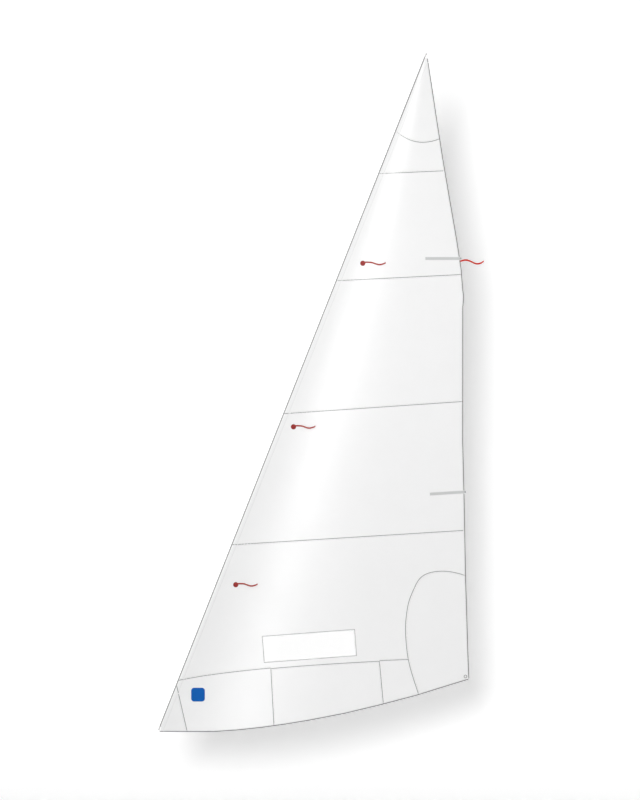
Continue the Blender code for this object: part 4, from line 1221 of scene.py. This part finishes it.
washer = [
    (EYELET_BARREL + CLEAR, washer_low), (EYELET_FLANGE, washer_low),
    (EYELET_FLANGE, washer_high), (EYELET_BARREL + CLEAR, washer_high),
]
stand_in("clew_washer", lathe(rounded(washer, 0.00035), eye_at, eye_out), steel)

# Battens and their caps, with softened edges
SOFTENED = (("_batten", glass_fibre, 0.00025), ("_batten_cap", cap_plastic, 0.0002))
for name in BATTENS:
    for kind, finish, soft in SOFTENED:
        work = packed_shape(name + kind, 1e-5, 0.001)
        edge_pairs = [edge for edge in work.edges if len(edge.link_faces) == 2]
        corners = [edge for edge in edge_pairs if edge.calc_face_angle() > math.radians(30)]
        shape = dict(offset=soft, segments=2, profile=0.5, affect="EDGES", clamp_overlap=True)
        bmesh.ops.bevel(work, geom=corners, **shape)
        stand_in(name + kind, mesh_of(work, 50), finish, name + "_batten_body")


# Floor and wall in one sheet of white paper
BACKDROP = 1.21
PAPER = 0.95
FLOOR = -0.62
WALL = 2.9
COVE = 1.0


def paper():
    """Paper that isn't there from behind, and is plain white through the window's film."""
    made = bpy.data.materials.new("stage")
    tree = Tree(made)
    tree.tree.nodes.clear()
    path = tree.node("ShaderNodeLightPath")
    seen = tree.math("MAXIMUM", path["Is Camera Ray"], path["Is Glossy Ray"])
    white = tree.spread(seen, PAPER, BACKDROP)
    matt = tree.node("ShaderNodeBsdfDiffuse", {"Color": white})["BSDF"]
    glow = tree.node("ShaderNodeEmission")["Emission"]
    front = tree.mixed(path["Is Transmission Ray"], matt, glow)
    gone = tree.node("ShaderNodeBsdfTransparent")["BSDF"]
    behind = tree.node("ShaderNodeNewGeometry")["Backfacing"]
    tree.node("ShaderNodeOutputMaterial", {"Surface": tree.mixed(behind, front, gone)})
    return made


def make_stage():
    """The sheet, seen by the camera from its front."""
    bend = np.linspace(0, math.pi / 2, 25)[1:]
    profile = [(-9.0, FLOOR), (WALL - COVE, FLOOR)]
    profile += [(WALL - COVE + COVE * math.sin(a), FLOOR + COVE - COVE * math.cos(a)) for a in bend]
    profile += [(WALL, 9.0)]
    work = bmesh.new()
    rows = [[work.verts.new((x, y, z)) for x in (-8.0, 10.2)] for y, z in profile]
    for a, b in zip(rows, rows[1:]):
        work.faces.new((a[0], a[1], b[1], b[0]))
    mesh = bpy.data.meshes.new("stage")
    work.to_mesh(mesh)
    work.free()
    mesh.shade_smooth()
    mesh.materials.append(paper())
    put("stage", mesh)


make_stage()

# Light: a white room, a little brighter to port, ahead and above, with a sun and a fill lamp
AMBIENT = 0.43
SLANT = 0.04
BRIGHT_WAY = Vector((-0.66, -0.62, 0.42)).normalized()


def make_world():
    """The room's light, and plain white where the camera, metal or film shows the room."""
    scene.world = bpy.data.worlds.new("world")
    room = Tree(scene.world)
    path = room.node("ShaderNodeLightPath")
    seen = room.math("MAXIMUM", path["Is Camera Ray"], path["Is Glossy Ray"])
    seen = room.math("MAXIMUM", seen, path["Is Transmission Ray"])
    way = room.along(room.node("ShaderNodeTexCoord")["Generated"], BRIGHT_WAY)
    light = room.spread(way, AMBIENT - SLANT, AMBIENT + SLANT, start=-1.0)
    level = room.node("ShaderNodeMapRange", {"Value": seen, "To Min": light})["Result"]
    background = room.tree.nodes["Background"].inputs
    room.feed(background["Color"], (1.0, 1.0, 1.0, 1.0))
    room.feed(background["Strength"], level)


make_world()


def add_light(name, kind, energy, place, target, **values):
    data = bpy.data.lights.new(name, kind)
    data.energy = energy
    for key, value in values.items():
        setattr(data, key, value)
    light = put(name, data)
    light.location = place
    light.rotation_euler = (Vector(target) - Vector(place)).to_track_quat("-Z", "Y").to_euler()


fill_at, fill_to = (1.6, -4.0, 3.7), (1.3, 0.0, 2.6)
sun_way = (0.056, 1.0, -0.062)
add_light("fill", "AREA", 40.0, fill_at, fill_to, size=1.5, use_shadow=False)
add_light("key", "SUN", 1.04, (0.0, 0.0, 0.0), sun_way, angle=math.radians(6.5))
